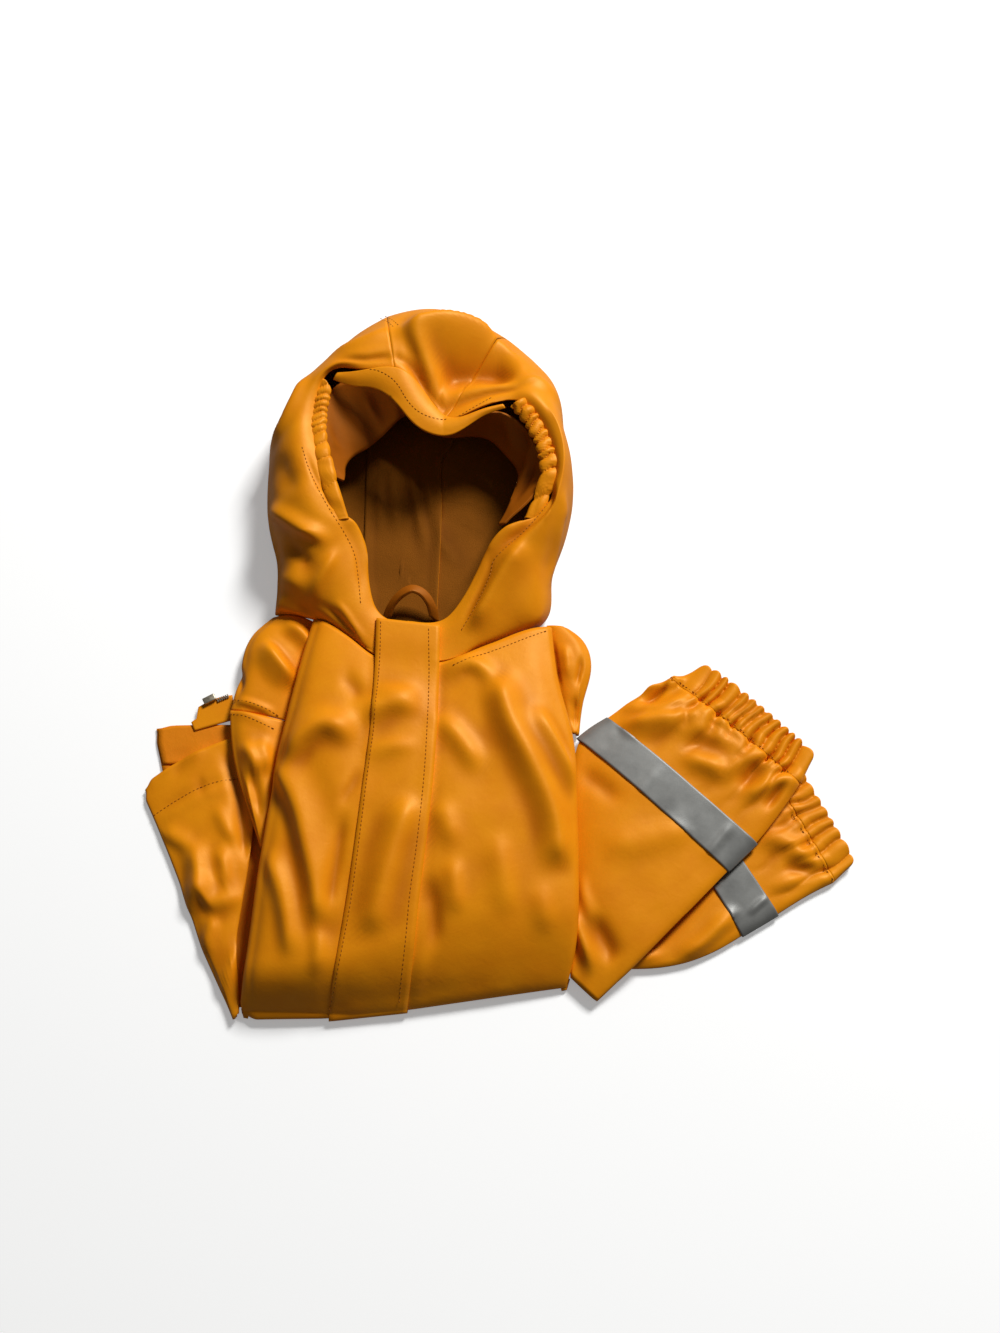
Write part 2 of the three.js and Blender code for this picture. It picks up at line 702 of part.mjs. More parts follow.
function brim() {
  const seam = table("x y z", [
    [-133, 236, 66],
    [-122, 235, 69],
    [-108, 236, 71],
    [-94, 238, 72],
    [-80, 237, 71],
    [-68, 228, 69],
    [-57, 213, 66],
    [-47, 200, 64],
    [-37, 196, 64],
    [-26, 199, 65],
    [-13, 204, 66],
    [2, 208, 66],
  ]);
  const front = table("x y z", [
    [-136, 231, 64],
    [-121, 224, 65],
    [-106, 223, 66],
    [-92, 216, 67],
    [-81, 204, 67],
    [-72, 192, 65],
    [-62, 185, 63],
    [-50, 181, 62],
    [-40, 181, 62],
    [-28, 188, 63],
    [-13, 199, 64],
    [4, 205, 65],
  ]);
  const rows = panel({ left: front, right: seam, along: 16, across: 3, crown: 1.5 });
  addMesh("hood_brim", wall(rows), YELLOW);
}

function casings() {
  const along = (from, to, steps) => {
    const rows = range(steps).map((t) => {
      const deg = mix(from, to, t);
      const half = CASING.width / 2;
      const middle = panelRim(deg) - half - 2 * GAP;
      const height = station(deg).rimZ - CLOTH / 2;
      return range(7).map((_, k) => {
        const turn = (2 * Math.PI * k) / 8;
        return polar(deg, middle + half * Math.cos(turn), height + (CASING.height / 2) * Math.sin(turn));
      });
    });
    return rows;
  };
  const capped = (rows) => {
    const centres = [rows[0], rows.at(-1)].map((row) =>
      row.reduce((sum, p) => sum.add(p), new THREE.Vector3()).divideScalar(row.length));
    const points = [...rows.flat(), ...centres];
    const n = rows[0].length;
    const index = [];
    for (let i = 0; i < rows.length - 1; i++)
      for (let j = 0; j < n; j++) {
        const [a, b] = [i * n + j, i * n + ((j + 1) % n)];
        index.push(a, a + n, b + n, a, b + n, b);
      }
    for (let j = 0; j < n; j++) {
      const k = (j + 1) % n;
      index.push(points.length - 2, j, k);
      index.push(points.length - 1, (rows.length - 1) * n + k, (rows.length - 1) * n + j);
    }
    const geometry = new THREE.BufferGeometry().setFromPoints(points);
    geometry.setIndex(index);
    return geometry;
  };
  addMesh("hood_casing_left", capped(along(...CASING.runs.left, 9)), YELLOW);
  addMesh("hood_casing_right", capped(along(...CASING.runs.right, 10)), YELLOW);
}

function hangerLoop() {
  const path = line(
    table("x y z", [
      [-93, 44, 6],
      [-90, 52, 12],
      [-82, 60, 18],
      [-72, 66, 21],
      [-62, 62, 19],
      [-55, 53, 13],
      [-53, 44, 6],
    ]),
    10,
  );
  const lean = new THREE.Vector3(0, 2.5, -3); // half of the tape's width
  const rows = path.map((p) => [p.clone().sub(lean), p.clone().add(lean)]);
  addMesh("hanger_loop", wall(rows), YELLOW);
}

fronts();
stormFlap();
foldedStack();
lowerHalf();
zipEnd();
shoulders();
sleeves();
hood();
hoodFacing();
brim();
casings();
hangerLoop();

// The origin is the centre of the base.
const box = new THREE.Box3().setFromObject(jacket);
const centre = box.getCenter(new THREE.Vector3());
jacket.position.set(-centre.x, -centre.y, -box.min.z);

export default jacket;
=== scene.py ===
"""A child's hooded rain jacket, folded flat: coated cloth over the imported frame, with its sewing and its
stage."""

import math

import bmesh
import bpy
import numpy as np
from bpy.props import FloatProperty, FloatVectorProperty, IntProperty, PointerProperty
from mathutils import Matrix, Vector
from mathutils.bvhtree import BVHTree


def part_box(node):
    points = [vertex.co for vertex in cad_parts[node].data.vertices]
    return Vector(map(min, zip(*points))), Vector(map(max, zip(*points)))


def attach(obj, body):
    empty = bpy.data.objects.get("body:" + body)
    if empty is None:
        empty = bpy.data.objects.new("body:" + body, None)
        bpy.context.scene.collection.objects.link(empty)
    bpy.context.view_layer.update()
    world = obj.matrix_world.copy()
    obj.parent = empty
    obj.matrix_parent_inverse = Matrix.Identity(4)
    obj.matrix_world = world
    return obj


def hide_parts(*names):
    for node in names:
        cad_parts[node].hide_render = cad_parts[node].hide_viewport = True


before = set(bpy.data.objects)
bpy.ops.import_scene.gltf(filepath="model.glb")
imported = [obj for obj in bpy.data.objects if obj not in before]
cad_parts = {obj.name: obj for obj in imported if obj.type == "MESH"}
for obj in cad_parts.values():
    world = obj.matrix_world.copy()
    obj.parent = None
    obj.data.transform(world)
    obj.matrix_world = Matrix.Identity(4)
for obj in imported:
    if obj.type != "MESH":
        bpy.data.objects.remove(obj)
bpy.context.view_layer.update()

bl_info = {
    "name": "Folded rain jacket",
    "version": (1, 0, 0),
    "blender": (4, 5, 0),
    "location": "View3D > Sidebar > Jacket",
    "description": "Builds a folded, hooded rain jacket around its packed frame",
    "category": "Object",
}

MM = 0.001
# Where the cutting plan's zero lies in the frame, in millimetres.
PLAN = np.array([3.0, -23.186])
# The middle of the hood, which its outside faces away from.
HOOD_MIDDLE = np.array([-69.0, 127.0, 25.0]) * MM
# Under the hood, for what lies above its floor's rolled edge.
HOOD_BELOW = np.array([-69.0, 127.0, -40.0]) * MM
FLOOR_ROLL = 0.008
HIGH_RIM = 0.042
# Height that lines are dropped from.
DROP = 0.2
# The lowest that cloth lies above the floor.
FLOOR_GAP = 0.0002
# Points nearer than this are one point.
MERGE = 1e-5
# How far each piece swells, to meet its neighbours at the seams.
SEAM_REACH = 0.0003
# How round a fold's crest is, as a share of its width.
CREST_ROUND = 0.11
# Neighbours on each side that a laid line's normals and heights are evened over.
NORMAL_WINDOW = 6
HEIGHT_WINDOW = 1
# How far the surface is evened to find its hollows, the depth of a full one, where the painted shade
# starts, and how far that shade is evened.
HOLLOW_ROUNDS = 7
HOLLOW_DEPTH = 0.0006
SHADE_START = 0.15
SHADE_BLUR = 3
# How far a pressed fold is evened.
FOLD_BLUR = 3
# The distance over which a fold fades at its ends, and its share of a short fold's length.
FOLD_FADE = 0.022
SHORT_FADE = 0.35
# How fast a fold falls away from its crest, and how much depth counts in finding the nearest place on it.
FOLD_FALL = 0.93
DEPTH_SHARE = 0.05
# Slow waves: the second, finer wave's strength and size, and the height over which they start.
FINE_WAVE = 0.45
FINE_SIZE = 0.43
WAVE_START = 0.002
WAVE_FADE = 0.006
# The height over which a tuck fades, and the distances over which a splay and a lap do.
TUCK_FADE = 0.015
SPLAY_FADE = 0.02
LAP_FADE = 0.006
LAP_ROW = 0.004
# The crown's slope fades past its crest and its seam, at its two sides and with height.
CREST_FADE = 0.011
SEAM_FADE = 0.012
CROWN_LEFT_FADE = 0.018
CROWN_RIGHT_FADE = 0.034
CROWN_LOW = 0.026
CROWN_LOW_FADE = 0.014
# The mean height of a cuff's ridges, which they rise and fall about.
RIDGE_MEAN = 0.62
# How wide, and how deep in millimetres, the stitching pinches a cuff.
PINCH_WIDTH = 0.0028
PINCH_DEPTH = 0.9
RIM_ANGLE = math.radians(55)
SMOOTH_ANGLE = math.radians(48)
# The pieces made so far, by node.
finished = {}


# ---------------------------------------------------------------- settings


class ClothSettings(bpy.types.PropertyGroup):
    """The coated cloth, its inside and its folds."""

    coat: FloatVectorProperty(
        name="Coat colour", description="Colour of the coated outside",
        subtype="COLOR", size=3, min=0, max=1, default=(0.93, 0.325, 0.004),
    )
    coat_deep: FloatVectorProperty(
        name="Deep coat colour", description="Colour of the coat where it lies thicker in the knit",
        subtype="COLOR", size=3, min=0, max=1, default=(0.82, 0.245, 0.002),
    )
    # Partly painted shade: the hem's inner face, in an orange redder and darker than the coat, standing for
    # the shade on the folded-under lower fronts.
    inside: FloatVectorProperty(
        name="Hem's inside", description="Colour of the hem's inner face, where it shows",
        subtype="COLOR", size=3, min=0, max=1, default=(0.85, 0.235, 0.006),
    )
    # Partly painted shade: the bare knit's colour, made darker and redder than the knit itself for the shade
    # that fills the hood.
    knit_back_and_shade: FloatVectorProperty(
        name="Knit back colour", description="Colour of the bare knit on the inside",
        subtype="COLOR", size=3, min=0, max=1, default=(0.27, 0.076, 0.0008),
    )
    # Painted shade: the strip along the hood's mouth is coated orange, given this dark colour for the shade
    # it lies in under the brim; the hanger loop takes it too.
    shaded_facing: FloatVectorProperty(
        name="Facing colour", description="Colour of the strip that faces the hood's mouth",
        subtype="COLOR", size=3, min=0, max=1, default=(0.42, 0.105, 0.003),
    )
    grain: FloatProperty(
        name="Grain", description="Width of one knit loop under the coat",
        subtype="DISTANCE", unit="LENGTH", min=0.0002, max=0.01, default=0.0007,
    )
    roughness: FloatProperty(
        name="Roughness", description="Roughness of the coat",
        subtype="FACTOR", min=0, max=1, default=0.47,
    )
    fold_share: FloatProperty(
        name="Fold depth", description="How deep the pressed folds are, as a share of the usual depth",
        subtype="FACTOR", min=0, max=3, default=1.5,
    )
    ripple: FloatProperty(
        name="Ripple", description="Height of the slow waves that all loose cloth has",
        subtype="DISTANCE", unit="LENGTH", min=0, max=0.005, default=0.0005,
    )
    rim_crease: FloatProperty(
        name="Rim crease", description="How sharp the cloth's cut edges stay",
        subtype="FACTOR", min=0, max=1, default=1.0,
    )


class TrimSettings(bpy.types.PropertyGroup):
    """The tape, the thread and the metal."""

    tape: FloatVectorProperty(
        name="Tape colour", description="Colour of the reflective tape",
        subtype="COLOR", size=3, min=0, max=1, default=(0.22, 0.22, 0.205),
    )
    thread: FloatVectorProperty(
        name="Thread colour", description="Colour of the sewing thread",
        subtype="COLOR", size=3, min=0, max=1, default=(0.42, 0.125, 0.005),
    )
    metal: FloatVectorProperty(
        name="Metal colour", description="Colour of the zip's end box and teeth",
        subtype="COLOR", size=3, min=0, max=1, default=(0.52, 0.46, 0.34),
    )
    stitch_pitch: FloatProperty(
        name="Stitch pitch", description="Distance from one stitch to the next",
        subtype="DISTANCE", unit="LENGTH", min=0.001, max=0.02, default=0.0032,
    )
    stitch_length: FloatProperty(
        name="Stitch length", description="Length of one stitch on the cloth",
        subtype="DISTANCE", unit="LENGTH", min=0.001, max=0.02, default=0.0024,
    )
    thread_radius: FloatProperty(
        name="Thread radius", description="Half the thread's thickness",
        subtype="DISTANCE", unit="LENGTH", min=0.0001, max=0.002, default=0.00040,
    )
    teeth: IntProperty(
        name="Teeth", description="Zip teeth that show beyond the end box",
        min=0, max=20, default=6,
    )


class StageSettings(bpy.types.PropertyGroup):
    """The floor, the light and the camera."""

    floor: FloatVectorProperty(
        name="Floor colour", description="Colour of the plain floor",
        subtype="COLOR", size=3, min=0, max=1, default=(0.93, 0.93, 0.92),
    )
    floor_glow: FloatProperty(
        name="Floor glow", description="Light that the floor itself seems to give, which keeps it pale",
        subtype="FACTOR", min=0, max=1, default=0.30,
    )
    bounce: FloatProperty(
        name="Floor bounce", description="Share of the light that the floor throws back at the jacket",
        subtype="FACTOR", min=0, max=1, default=0.35,
    )
    key: FloatProperty(
        name="Key light", description="Power of the large soft light at the upper right, in watts",
        min=0, max=1000, default=142,
    )
    fill: FloatProperty(
        name="Fill light", description="Strength of the even light from all round",
        subtype="FACTOR", min=0, max=5, default=0.085,
    )
    distance: FloatProperty(
        name="Camera distance", description="Distance from the camera to the jacket",
        subtype="DISTANCE", unit="LENGTH", min=0.2, max=5, default=1.15,
    )
    elevation: FloatProperty(
        name="Camera elevation", description="Height of the camera above the floor, as an angle",
        subtype="ANGLE", unit="ROTATION", min=0, max=math.pi / 2, default=math.radians(72),
    )
    lens: FloatProperty(
        name="Lens", description="Focal length of the camera, in millimetres",
        subtype="DISTANCE_CAMERA", min=10, max=200, default=38.82,
    )


# ---------------------------------------------------------------- meshes


def deselect():
    """Clear the selection, so that an operator acts only on what is selected next."""
    for thing in bpy.context.selected_objects:
        thing.select_set(False)


def take(piece):
    """Make a piece the only one selected, and the active one."""
    deselect()
    piece.select_set(True)
    bpy.context.view_layer.objects.active = piece


def apply_all(piece):
    """Apply a piece's modifiers in order."""
    take(piece)
    for modifier in list(piece.modifiers):
        bpy.ops.object.modifier_apply(modifier=modifier.name)


def places_of(piece):
    """A piece's points, as an array."""
    flat = np.empty(len(piece.data.vertices) * 3, np.float32)
    piece.data.vertices.foreach_get("co", flat)
    return flat.reshape(-1, 3).astype(float)


def normals_of(piece):
    """A piece's normals at its points, as an array."""
    flat = np.empty(len(piece.data.vertices) * 3, np.float32)
    piece.data.vertices.foreach_get("normal", flat)
    return flat.reshape(-1, 3)


def set_places(piece, places):
    """Move a piece's points, none of them below the floor."""
    places[:, 2] = np.maximum(places[:, 2], FLOOR_GAP)
    piece.data.vertices.foreach_set("co", places.astype(np.float32).ravel())
    piece.data.update()


def in_frame(numbers):
    """Plan places in millimetres, as places in the frame."""
    return (np.array(numbers, float).reshape(-1, 2) + PLAN) * MM


def ease(part):
    """A share from 0 to 1, made slow at both ends."""
    return part * part * (3 - 2 * part)


def grow(node, levels, lined=False):
    """Turn a node's copy into fine, soft cloth: closed up, four-sided, its cut edges creased. A lined piece
    marks the faces that look into the hood."""
    cloth = bpy.context.scene.cloth_settings
    piece = bpy.data.objects.new("cloth_" + node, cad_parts[node].data.copy())
    bpy.context.scene.collection.objects.link(piece)
    mesh = bmesh.new()
    mesh.from_mesh(piece.data)
    bmesh.ops.remove_doubles(mesh, verts=mesh.verts, dist=MERGE)
    bmesh.ops.join_triangles(
        mesh, faces=mesh.faces, angle_face_threshold=1.2, angle_shape_threshold=2.2
    )
    crease = mesh.edges.layers.float.new("crease_edge")
    for edge in mesh.edges:
        if edge.calc_face_angle(0) > RIM_ANGLE:
            edge[crease] = cloth.rim_crease
    mesh.to_mesh(piece.data)
    mesh.free()
    piece.data.materials.clear()
    if lined:
        for face in piece.data.polygons:
            middle = HOOD_MIDDLE if face.center.z < FLOOR_ROLL else HOOD_BELOW
            inward = face.normal.dot(face.center - Vector(middle)) < 0
            if face.center.z > HIGH_RIM:
                inward = face.normal.z < -0.3
            face.material_index = 1 if inward else 0
    finer = piece.modifiers.new("Finer cloth", "SUBSURF")
    finer.levels = levels
    finer.render_levels = levels
    apply_all(piece)
    for name, x, y, reach, *move in CORNERS:
        if name == node:
            tuck(piece, (x, y), reach, move)
    finished[node] = piece
    return piece


def tuck(piece, spot, reach, move, top=0.2):
    """Pull the part of a piece that lies round a plan place, and below the top, along the floor. The reach
    and the move are in millimetres."""
    rest = places_of(piece)
    far = np.linalg.norm(rest[:, :2] - in_frame(spot), axis=1)
    part = np.clip(1 - far / (reach * MM), 0, 1) * np.clip((top - rest[:, 2]) / TUCK_FADE, 0, 1)
    rest[:, :2] += ease(part)[:, None] * np.array(move) * MM
    set_places(piece, rest)


def swell(piece, amount):
    """Thicken a piece by the same amount all over, so that it meets its neighbours at the seams."""
    set_places(piece, places_of(piece) + amount * normals_of(piece))


def smooth(piece):
    """Shade a piece smoothly, apart from its sharp rims."""
    take(piece)
    bpy.ops.object.shade_smooth_by_angle(angle=SMOOTH_ANGLE)


def neighbours_of(piece):
    """Each edge of a piece both ways, as starts and ends, with the number of edges at each vertex."""
    ends = np.empty(len(piece.data.edges) * 2, np.int32)
    piece.data.edges.foreach_get("vertices", ends)
    first, second = ends[::2], ends[1::2]
    starts = np.concatenate([first, second])
    around = np.maximum(np.bincount(starts, minlength=len(piece.data.vertices)), 1)
    return starts, np.concatenate([second, first]), around


def even_out(rows, neighbours, rounds, share=1.0):
    """Rows of numbers for the vertices, each moved toward the mean of its neighbours, time after time."""
    starts, ends, around = neighbours
    rows = rows.copy()
    for _ in range(rounds):
        for column in rows.T:
            column += share * (np.bincount(starts, column[ends], len(column)) / around - column)
    return rows


def paint_shade_in_hollows(piece):
    """Store painted shade at each vertex, from 0 to 1, by how deep it lies in the piece's folds."""
    places = places_of(piece)
    neighbours = neighbours_of(piece)
    away = even_out(places, neighbours, HOLLOW_ROUNDS) - places
    deep = np.einsum("nc,nc->n", away, normals_of(piece)) / HOLLOW_DEPTH - SHADE_START
    deep = even_out(np.clip(deep, 0, 1)[:, None], neighbours, SHADE_BLUR)
    layer = piece.data.attributes.new(name="hollow_shade", type="FLOAT", domain="POINT")
    layer.data.foreach_set("value", deep.ravel().astype(np.float32))


def iron(piece, spot, radius, rounds=40):
    """Smooth a piece round a plan place."""
    rest = places_of(piece)
    far = np.linalg.norm(rest[:, :2] - in_frame(spot), axis=1)
    share = np.clip(1.5 - 1.5 * far / radius, 0, 1)
    set_places(piece, even_out(rest, neighbours_of(piece), rounds, share))


def settle(piece, node, held, rests_on, finish="coat", slot="coated_cloth"):
    """Swell a finished sheet, paint shade in its folds, give it its material and smooth shading, hang it on
    the root body and hide its frame part.
    """
    swell(piece, SEAM_REACH)
    paint_shade_in_hollows(piece)
    piece.data.materials.append(material(finish))
    smooth(piece)
    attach(piece, "root")
    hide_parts(node)
    if node == "folded_layers":
        return


# ---------------------------------------------------------------- folds


def plan_line(numbers, step=0.002):
    """A smooth line through plan places, as places in the frame every step, with the way along it."""
    corners = in_frame(numbers)
    padded = np.vstack([2 * corners[0] - corners[1], corners, 2 * corners[-1] - corners[-2]])
    fine = []
    for first, second, third, fourth in zip(padded, padded[1:], padded[2:], padded[3:]):
        count = max(2, int(np.linalg.norm(third - second) / step * 2))
        for t in np.linspace(0, 1, count, endpoint=False):
            fine.append(
                0.5 * (2 * second + (third - first) * t
                       + (2 * first - 5 * second + 4 * third - fourth) * t**2
                       + (3 * second - first - 3 * third + fourth) * t**3)
            )
    fine = np.array(fine + [corners[-1]])
    run = np.concatenate([[0], np.cumsum(np.linalg.norm(np.diff(fine, axis=0), axis=1))])
    along = np.linspace(0, run[-1], max(3, int(run[-1] / step) + 1))
    return np.stack([np.interp(along, run, fine[:, 0]), np.interp(along, run, fine[:, 1])], 1), along


def surface_of(pieces):
    """A tree of several pieces' faces, to drop lines on."""
    places, faces = [], []
    for piece in pieces:
        start = len(places)
        places.extend(map(Vector, places_of(piece)))
        faces.extend([start + v for v in face.vertices] for face in piece.data.polygons)
    return BVHTree.FromPolygons(places, faces)


def evened(rows, window):
    """Each row's mean over a window of its neighbours, with less of them at the ends."""
    window = min(window, (len(rows) - 1) // 2)
    total = np.concatenate([np.zeros((1, rows.shape[1])), np.cumsum(rows, axis=0)])
    spot = np.arange(len(rows))
    low, high = np.maximum(spot - window, 0), np.minimum(spot + window + 1, len(rows))
    return (total[high] - total[low]) / (high - low)[:, None]


def lay(numbers, tree, start=DROP, step=0.002):
    """Drop a plan line on the cloth: places, normals, ways along and distances, where it lands."""
    line, along = plan_line(numbers, step)
    places, normals, kept = [], [], []
    for (x, y), run in zip(line, along):
        place, normal = tree.ray_cast(Vector((x, y, start)), Vector((0, 0, -1)))[:2]
        if place is not None:
            places.append(place)
            normals.append(normal if normal.z > 0 else -normal)
            kept.append(run)
    if len(places) < 3:
        return None
    places = np.array(places, float)
    normals = evened(np.array(normals, float), NORMAL_WINDOW)
    normals /= np.linalg.norm(normals, axis=1, keepdims=True)
    places[:, 2] = evened(places[:, 2:], HEIGHT_WINDOW)[:, 0]
    way = np.gradient(places, axis=0)
    way /= np.maximum(np.linalg.norm(way, axis=1, keepdims=True), 1e-9)
    return places, normals, way, np.array(kept), along[-1]


def press(pieces, rows, start=DROP, reach=0.007, on=None):
    """Press folds into pieces that lie together. Each row is a height and the widths on the line's left and
    right, in millimetres, then plan places."""
    share = bpy.context.scene.cloth_settings.fold_share
    tree = surface_of(on or pieces)
    lines = []
    for height, left, right, *numbers in rows:
        laid = lay(numbers, tree, start)
        if laid:
            lines.append((height * MM * share, left * MM, right * MM, laid))
    for piece in pieces:
        rest = places_of(piece)
        moved = rest.copy()
        for height, left, right, (places, normals, way, run, length) in lines:
            room = max(left, right) + reach
            near = np.flatnonzero(
                np.all((rest > places.min(0) - room) & (rest < places.max(0) + room), axis=1)
            )
            if not len(near):
                continue
            away = rest[near, None, :] - places[None, :, :]
            depth = np.einsum("nkc,kc->nk", away, normals)
            across = away - depth[..., None] * normals[None]
            far = np.einsum("nkc,nkc->nk", across, across)
            k = np.argmin(far + DEPTH_SHARE * depth**2, axis=1)
            pick = np.arange(len(near))
            side = np.cross(normals[k], way[k])
            width = np.where(np.einsum("nc,nc->n", across[pick, k], side) > 0, left, right)
            fade = min(FOLD_FADE, SHORT_FADE * length)
            end = ease(np.clip(np.minimum(run, length - run) / fade, 0, 1))
            gate = np.clip(2 - np.abs(depth[pick, k]) / reach, 0, 1)
            off = np.sqrt(far[pick, k] / width**2 + CREST_ROUND**2) - CREST_ROUND
            rise = np.clip(1 - FOLD_FALL * off, 0, 1)
            amount = height * rise**2 * (1.6 - 0.6 * rise) * end[k] * gate
            moved[near] += amount[:, None] * normals[k]
        set_places(piece, rest + even_out(moved - rest, neighbours_of(piece), FOLD_BLUR))


def drift(places, size, seed):
    """Smooth noise from -1 to 1 that changes over about size metres."""
    cell = places / size
    low = np.floor(cell)
    part = ease(cell - low)
    total = np.zeros(len(places))
    for corner in np.ndindex(2, 2, 2):
        spot = low + np.array(corner)
        chance = np.sin(spot @ np.array([12.9898, 78.233, 37.719]) + seed * 5.31) * 43758.5453
        value = 2 * (chance - np.floor(chance)) - 1
        total += value * np.prod(np.where(corner, part, 1 - part), axis=1)
    return total


def ripple(piece, size, share, seed, outward=None):
    """Add slow waves to a piece, upward or away from a middle."""
    rest = places_of(piece)
    amount = bpy.context.scene.cloth_settings.ripple * share
    wave = drift(rest, size, seed) + FINE_WAVE * drift(rest, size * FINE_SIZE, seed + 7)
    if outward is None:
        way = np.array([[0.0, 0.0, 1.0]])
    else:
        way = rest - outward
        way /= np.linalg.norm(way, axis=1, keepdims=True)
    lift = np.clip((rest[:, 2] - WAVE_START) / WAVE_FADE, 0, 1)
    set_places(piece, rest + (amount * wave * lift)[:, None] * way)


def roll(pieces, edge, depth, share):
    """Roll pieces under along an edge given by plan places: all of them sink toward the floor together."""
    corners = in_frame(edge)
    for piece in pieces:
        rest = places_of(piece)
        line = np.interp(rest[:, 0], corners[:, 0], corners[:, 1])
        deep = np.interp(rest[:, 0], corners[:, 0], np.array(depth, float) * MM)
        part = np.clip(1 - (rest[:, 1] - line) / deep, 0, 1)
        sink = rest[:, 2] * share * part**2
        moved = rest.copy()
        moved[:, 2] -= sink
        set_places(piece, moved)


def slope(pieces, crest, seam, lifts, sink):
    """Tilt the crown between a crest and a seam, given as plan places: up along the crest by the lifts in
    millimetres, and down at the seam."""
    crest, seam = in_frame(crest), in_frame(seam)
    for piece in pieces:
        rest = places_of(piece)
        high = np.interp(rest[:, 0], crest[:, 0], crest[:, 1])
        low = np.interp(rest[:, 0], seam[:, 0], seam[:, 1])
        lift = np.interp(rest[:, 0], crest[:, 0], np.array(lifts) * MM)
        part = (rest[:, 1] - low) / (high - low)
        beyond_crest = lift * np.exp((high - rest[:, 1]) / CREST_FADE)
        beyond_seam = -sink * np.exp((rest[:, 1] - low) / SEAM_FADE)
        rise = np.where(part > 1, beyond_crest, lift * part - sink * (1 - part))
        rise = np.where(part < 0, beyond_seam, rise)
        near = np.clip((rest[:, 0] - crest[0, 0]) / CROWN_LEFT_FADE, 0, 1)
        near *= np.clip((crest[-1, 0] - rest[:, 0]) / CROWN_RIGHT_FADE, 0, 1)
        near *= np.clip((rest[:, 2] - CROWN_LOW) / CROWN_LOW_FADE, 0, 1)
        rest[:, 2] += rise * ease(near)
        set_places(piece, rest)


def turn_tape(piece, path):
    """Turn a loop's tape, which stands on edge along a path, so that its face shows from above."""
    path = np.array(path, float).reshape(-1, 3)
    path[:, :2] += PLAN
    steps = np.linspace(0, len(path) - 1, 160)
    line = [np.interp(steps, np.arange(len(path)), path[:, axis]) for axis in range(3)]
    line = np.stack(line, 1) * MM
    rest = places_of(piece)
    away = rest[:, None, :] - line[None]
    away[:, :, 2] *= 0.2
    k = np.argmin(np.einsum("nkc,nkc->nk", away, away), axis=1)
    stood = np.array([0.0, 0.64, -0.77])
    wide = (rest - line[k]) @ stood
    out = line[k] - line.mean(0)
    out[:, 2] = 0
    out /= np.maximum(np.linalg.norm(out, axis=1, keepdims=True), 1e-6)
    out = 0.85 * out + np.array([0.0, 0.0, -0.52])
    set_places(piece, rest + wide[:, None] * (out - stood))


def lap(piece, low, reach, lift):
    """Lap a panel's long edges over its neighbours where it lies low, like a seam allowance."""
    rest = places_of(piece)
    floor = (rest[:, 2] < low) & (rest[:, 1] < 0.24)
    fade = np.clip((low - rest[:, 2]) / 0.014, 0, 1)
    row = np.round(rest[:, 1] / LAP_ROW).astype(int)
    moved = rest.copy()
    for number in np.unique(row[floor]):
        band = np.flatnonzero(floor & (row == number))
        spots = rest[band, 0]
        left, right = spots.min(), spots.max()
        for edge, way in ((left, -1), (right, 1)):
            part = ease(np.clip(1 - np.abs(spots - edge) / LAP_FADE, 0, 1))
            moved[band, 0] += way * reach * part * fade[band]
            moved[band, 2] += lift * part * fade[band]
    set_places(piece, moved)


def scallops(spots, grooves, power=0.6):
    """The round ridges between uneven grooves, from 0 in a groove to 1 on a ridge."""
    k = np.clip(np.searchsorted(grooves, spots) - 1, 0, len(grooves) - 2)
    part = (spots - grooves[k]) / (grooves[k + 1] - grooves[k])
    return np.abs(np.sin(math.pi * np.clip(part, 0, 1))) ** power


def gather(pieces, ends, grooves, height, band, run_in, middle):
    """Draw a sleeve's end together on elastic: grooves along it, which fade past the stitching."""
    first, last = in_frame(ends)
    wide = np.linalg.norm(last - first)
    across = (last - first) / wide
    inward = np.array([across[1], -across[0]])
    grooves = np.array(grooves)
    broad = np.concatenate([grooves[::2], grooves[-1:] + 0.05])
    for piece in pieces:
        rest = places_of(piece)
        u = (rest[:, :2] - first) @ across / wide
        v = (rest[:, :2] - first) @ inward
        bend = 0.010 * np.sin(v / 0.006 + 9 * u) + 0.012 * drift(rest, 0.012, 3)
        narrow = scallops(u + bend, grooves, 0.7) - RIDGE_MEAN
        wider = scallops(u + 1.6 * bend, broad) - RIDGE_MEAN
        past = np.clip((v - band) / run_in, 0, 3)
        fine_share = np.where(v < band, 1.0, np.exp(-past * 2.4))
        broad_start = np.clip((v - band * 0.6) / 0.012, 0, 1)
        wide_share = np.where(v < band * 0.6, 0.0, broad_start * np.exp(-past * 1.3))
        pinch = -PINCH_DEPTH * np.exp(-((v - band) / PINCH_WIDTH) ** 2)
        top = np.clip((rest[:, 2] - middle) / 0.004, -0.35, 1)
        edge = np.clip(1 - v / 0.006, 0, 1)
        corner = np.clip(1 - np.minimum(u, 1 - u) * wide / 0.013, 0, 1.2) ** 2
        corner *= np.clip(1 - v / 0.024, 0, 1)
        lift = height * (narrow * fine_share + 1.3 * wider * wide_share) + pinch * MM
        moved = rest.copy()
        moved[:, 2] += lift * top
        moved[:, :2] += (0.0065 * corner - 0.5 * edge * height * narrow)[:, None] * inward
        moved[:, :2] += (0.0045 * corner * np.sign(0.5 - u))[:, None] * across
        set_places(piece, moved)


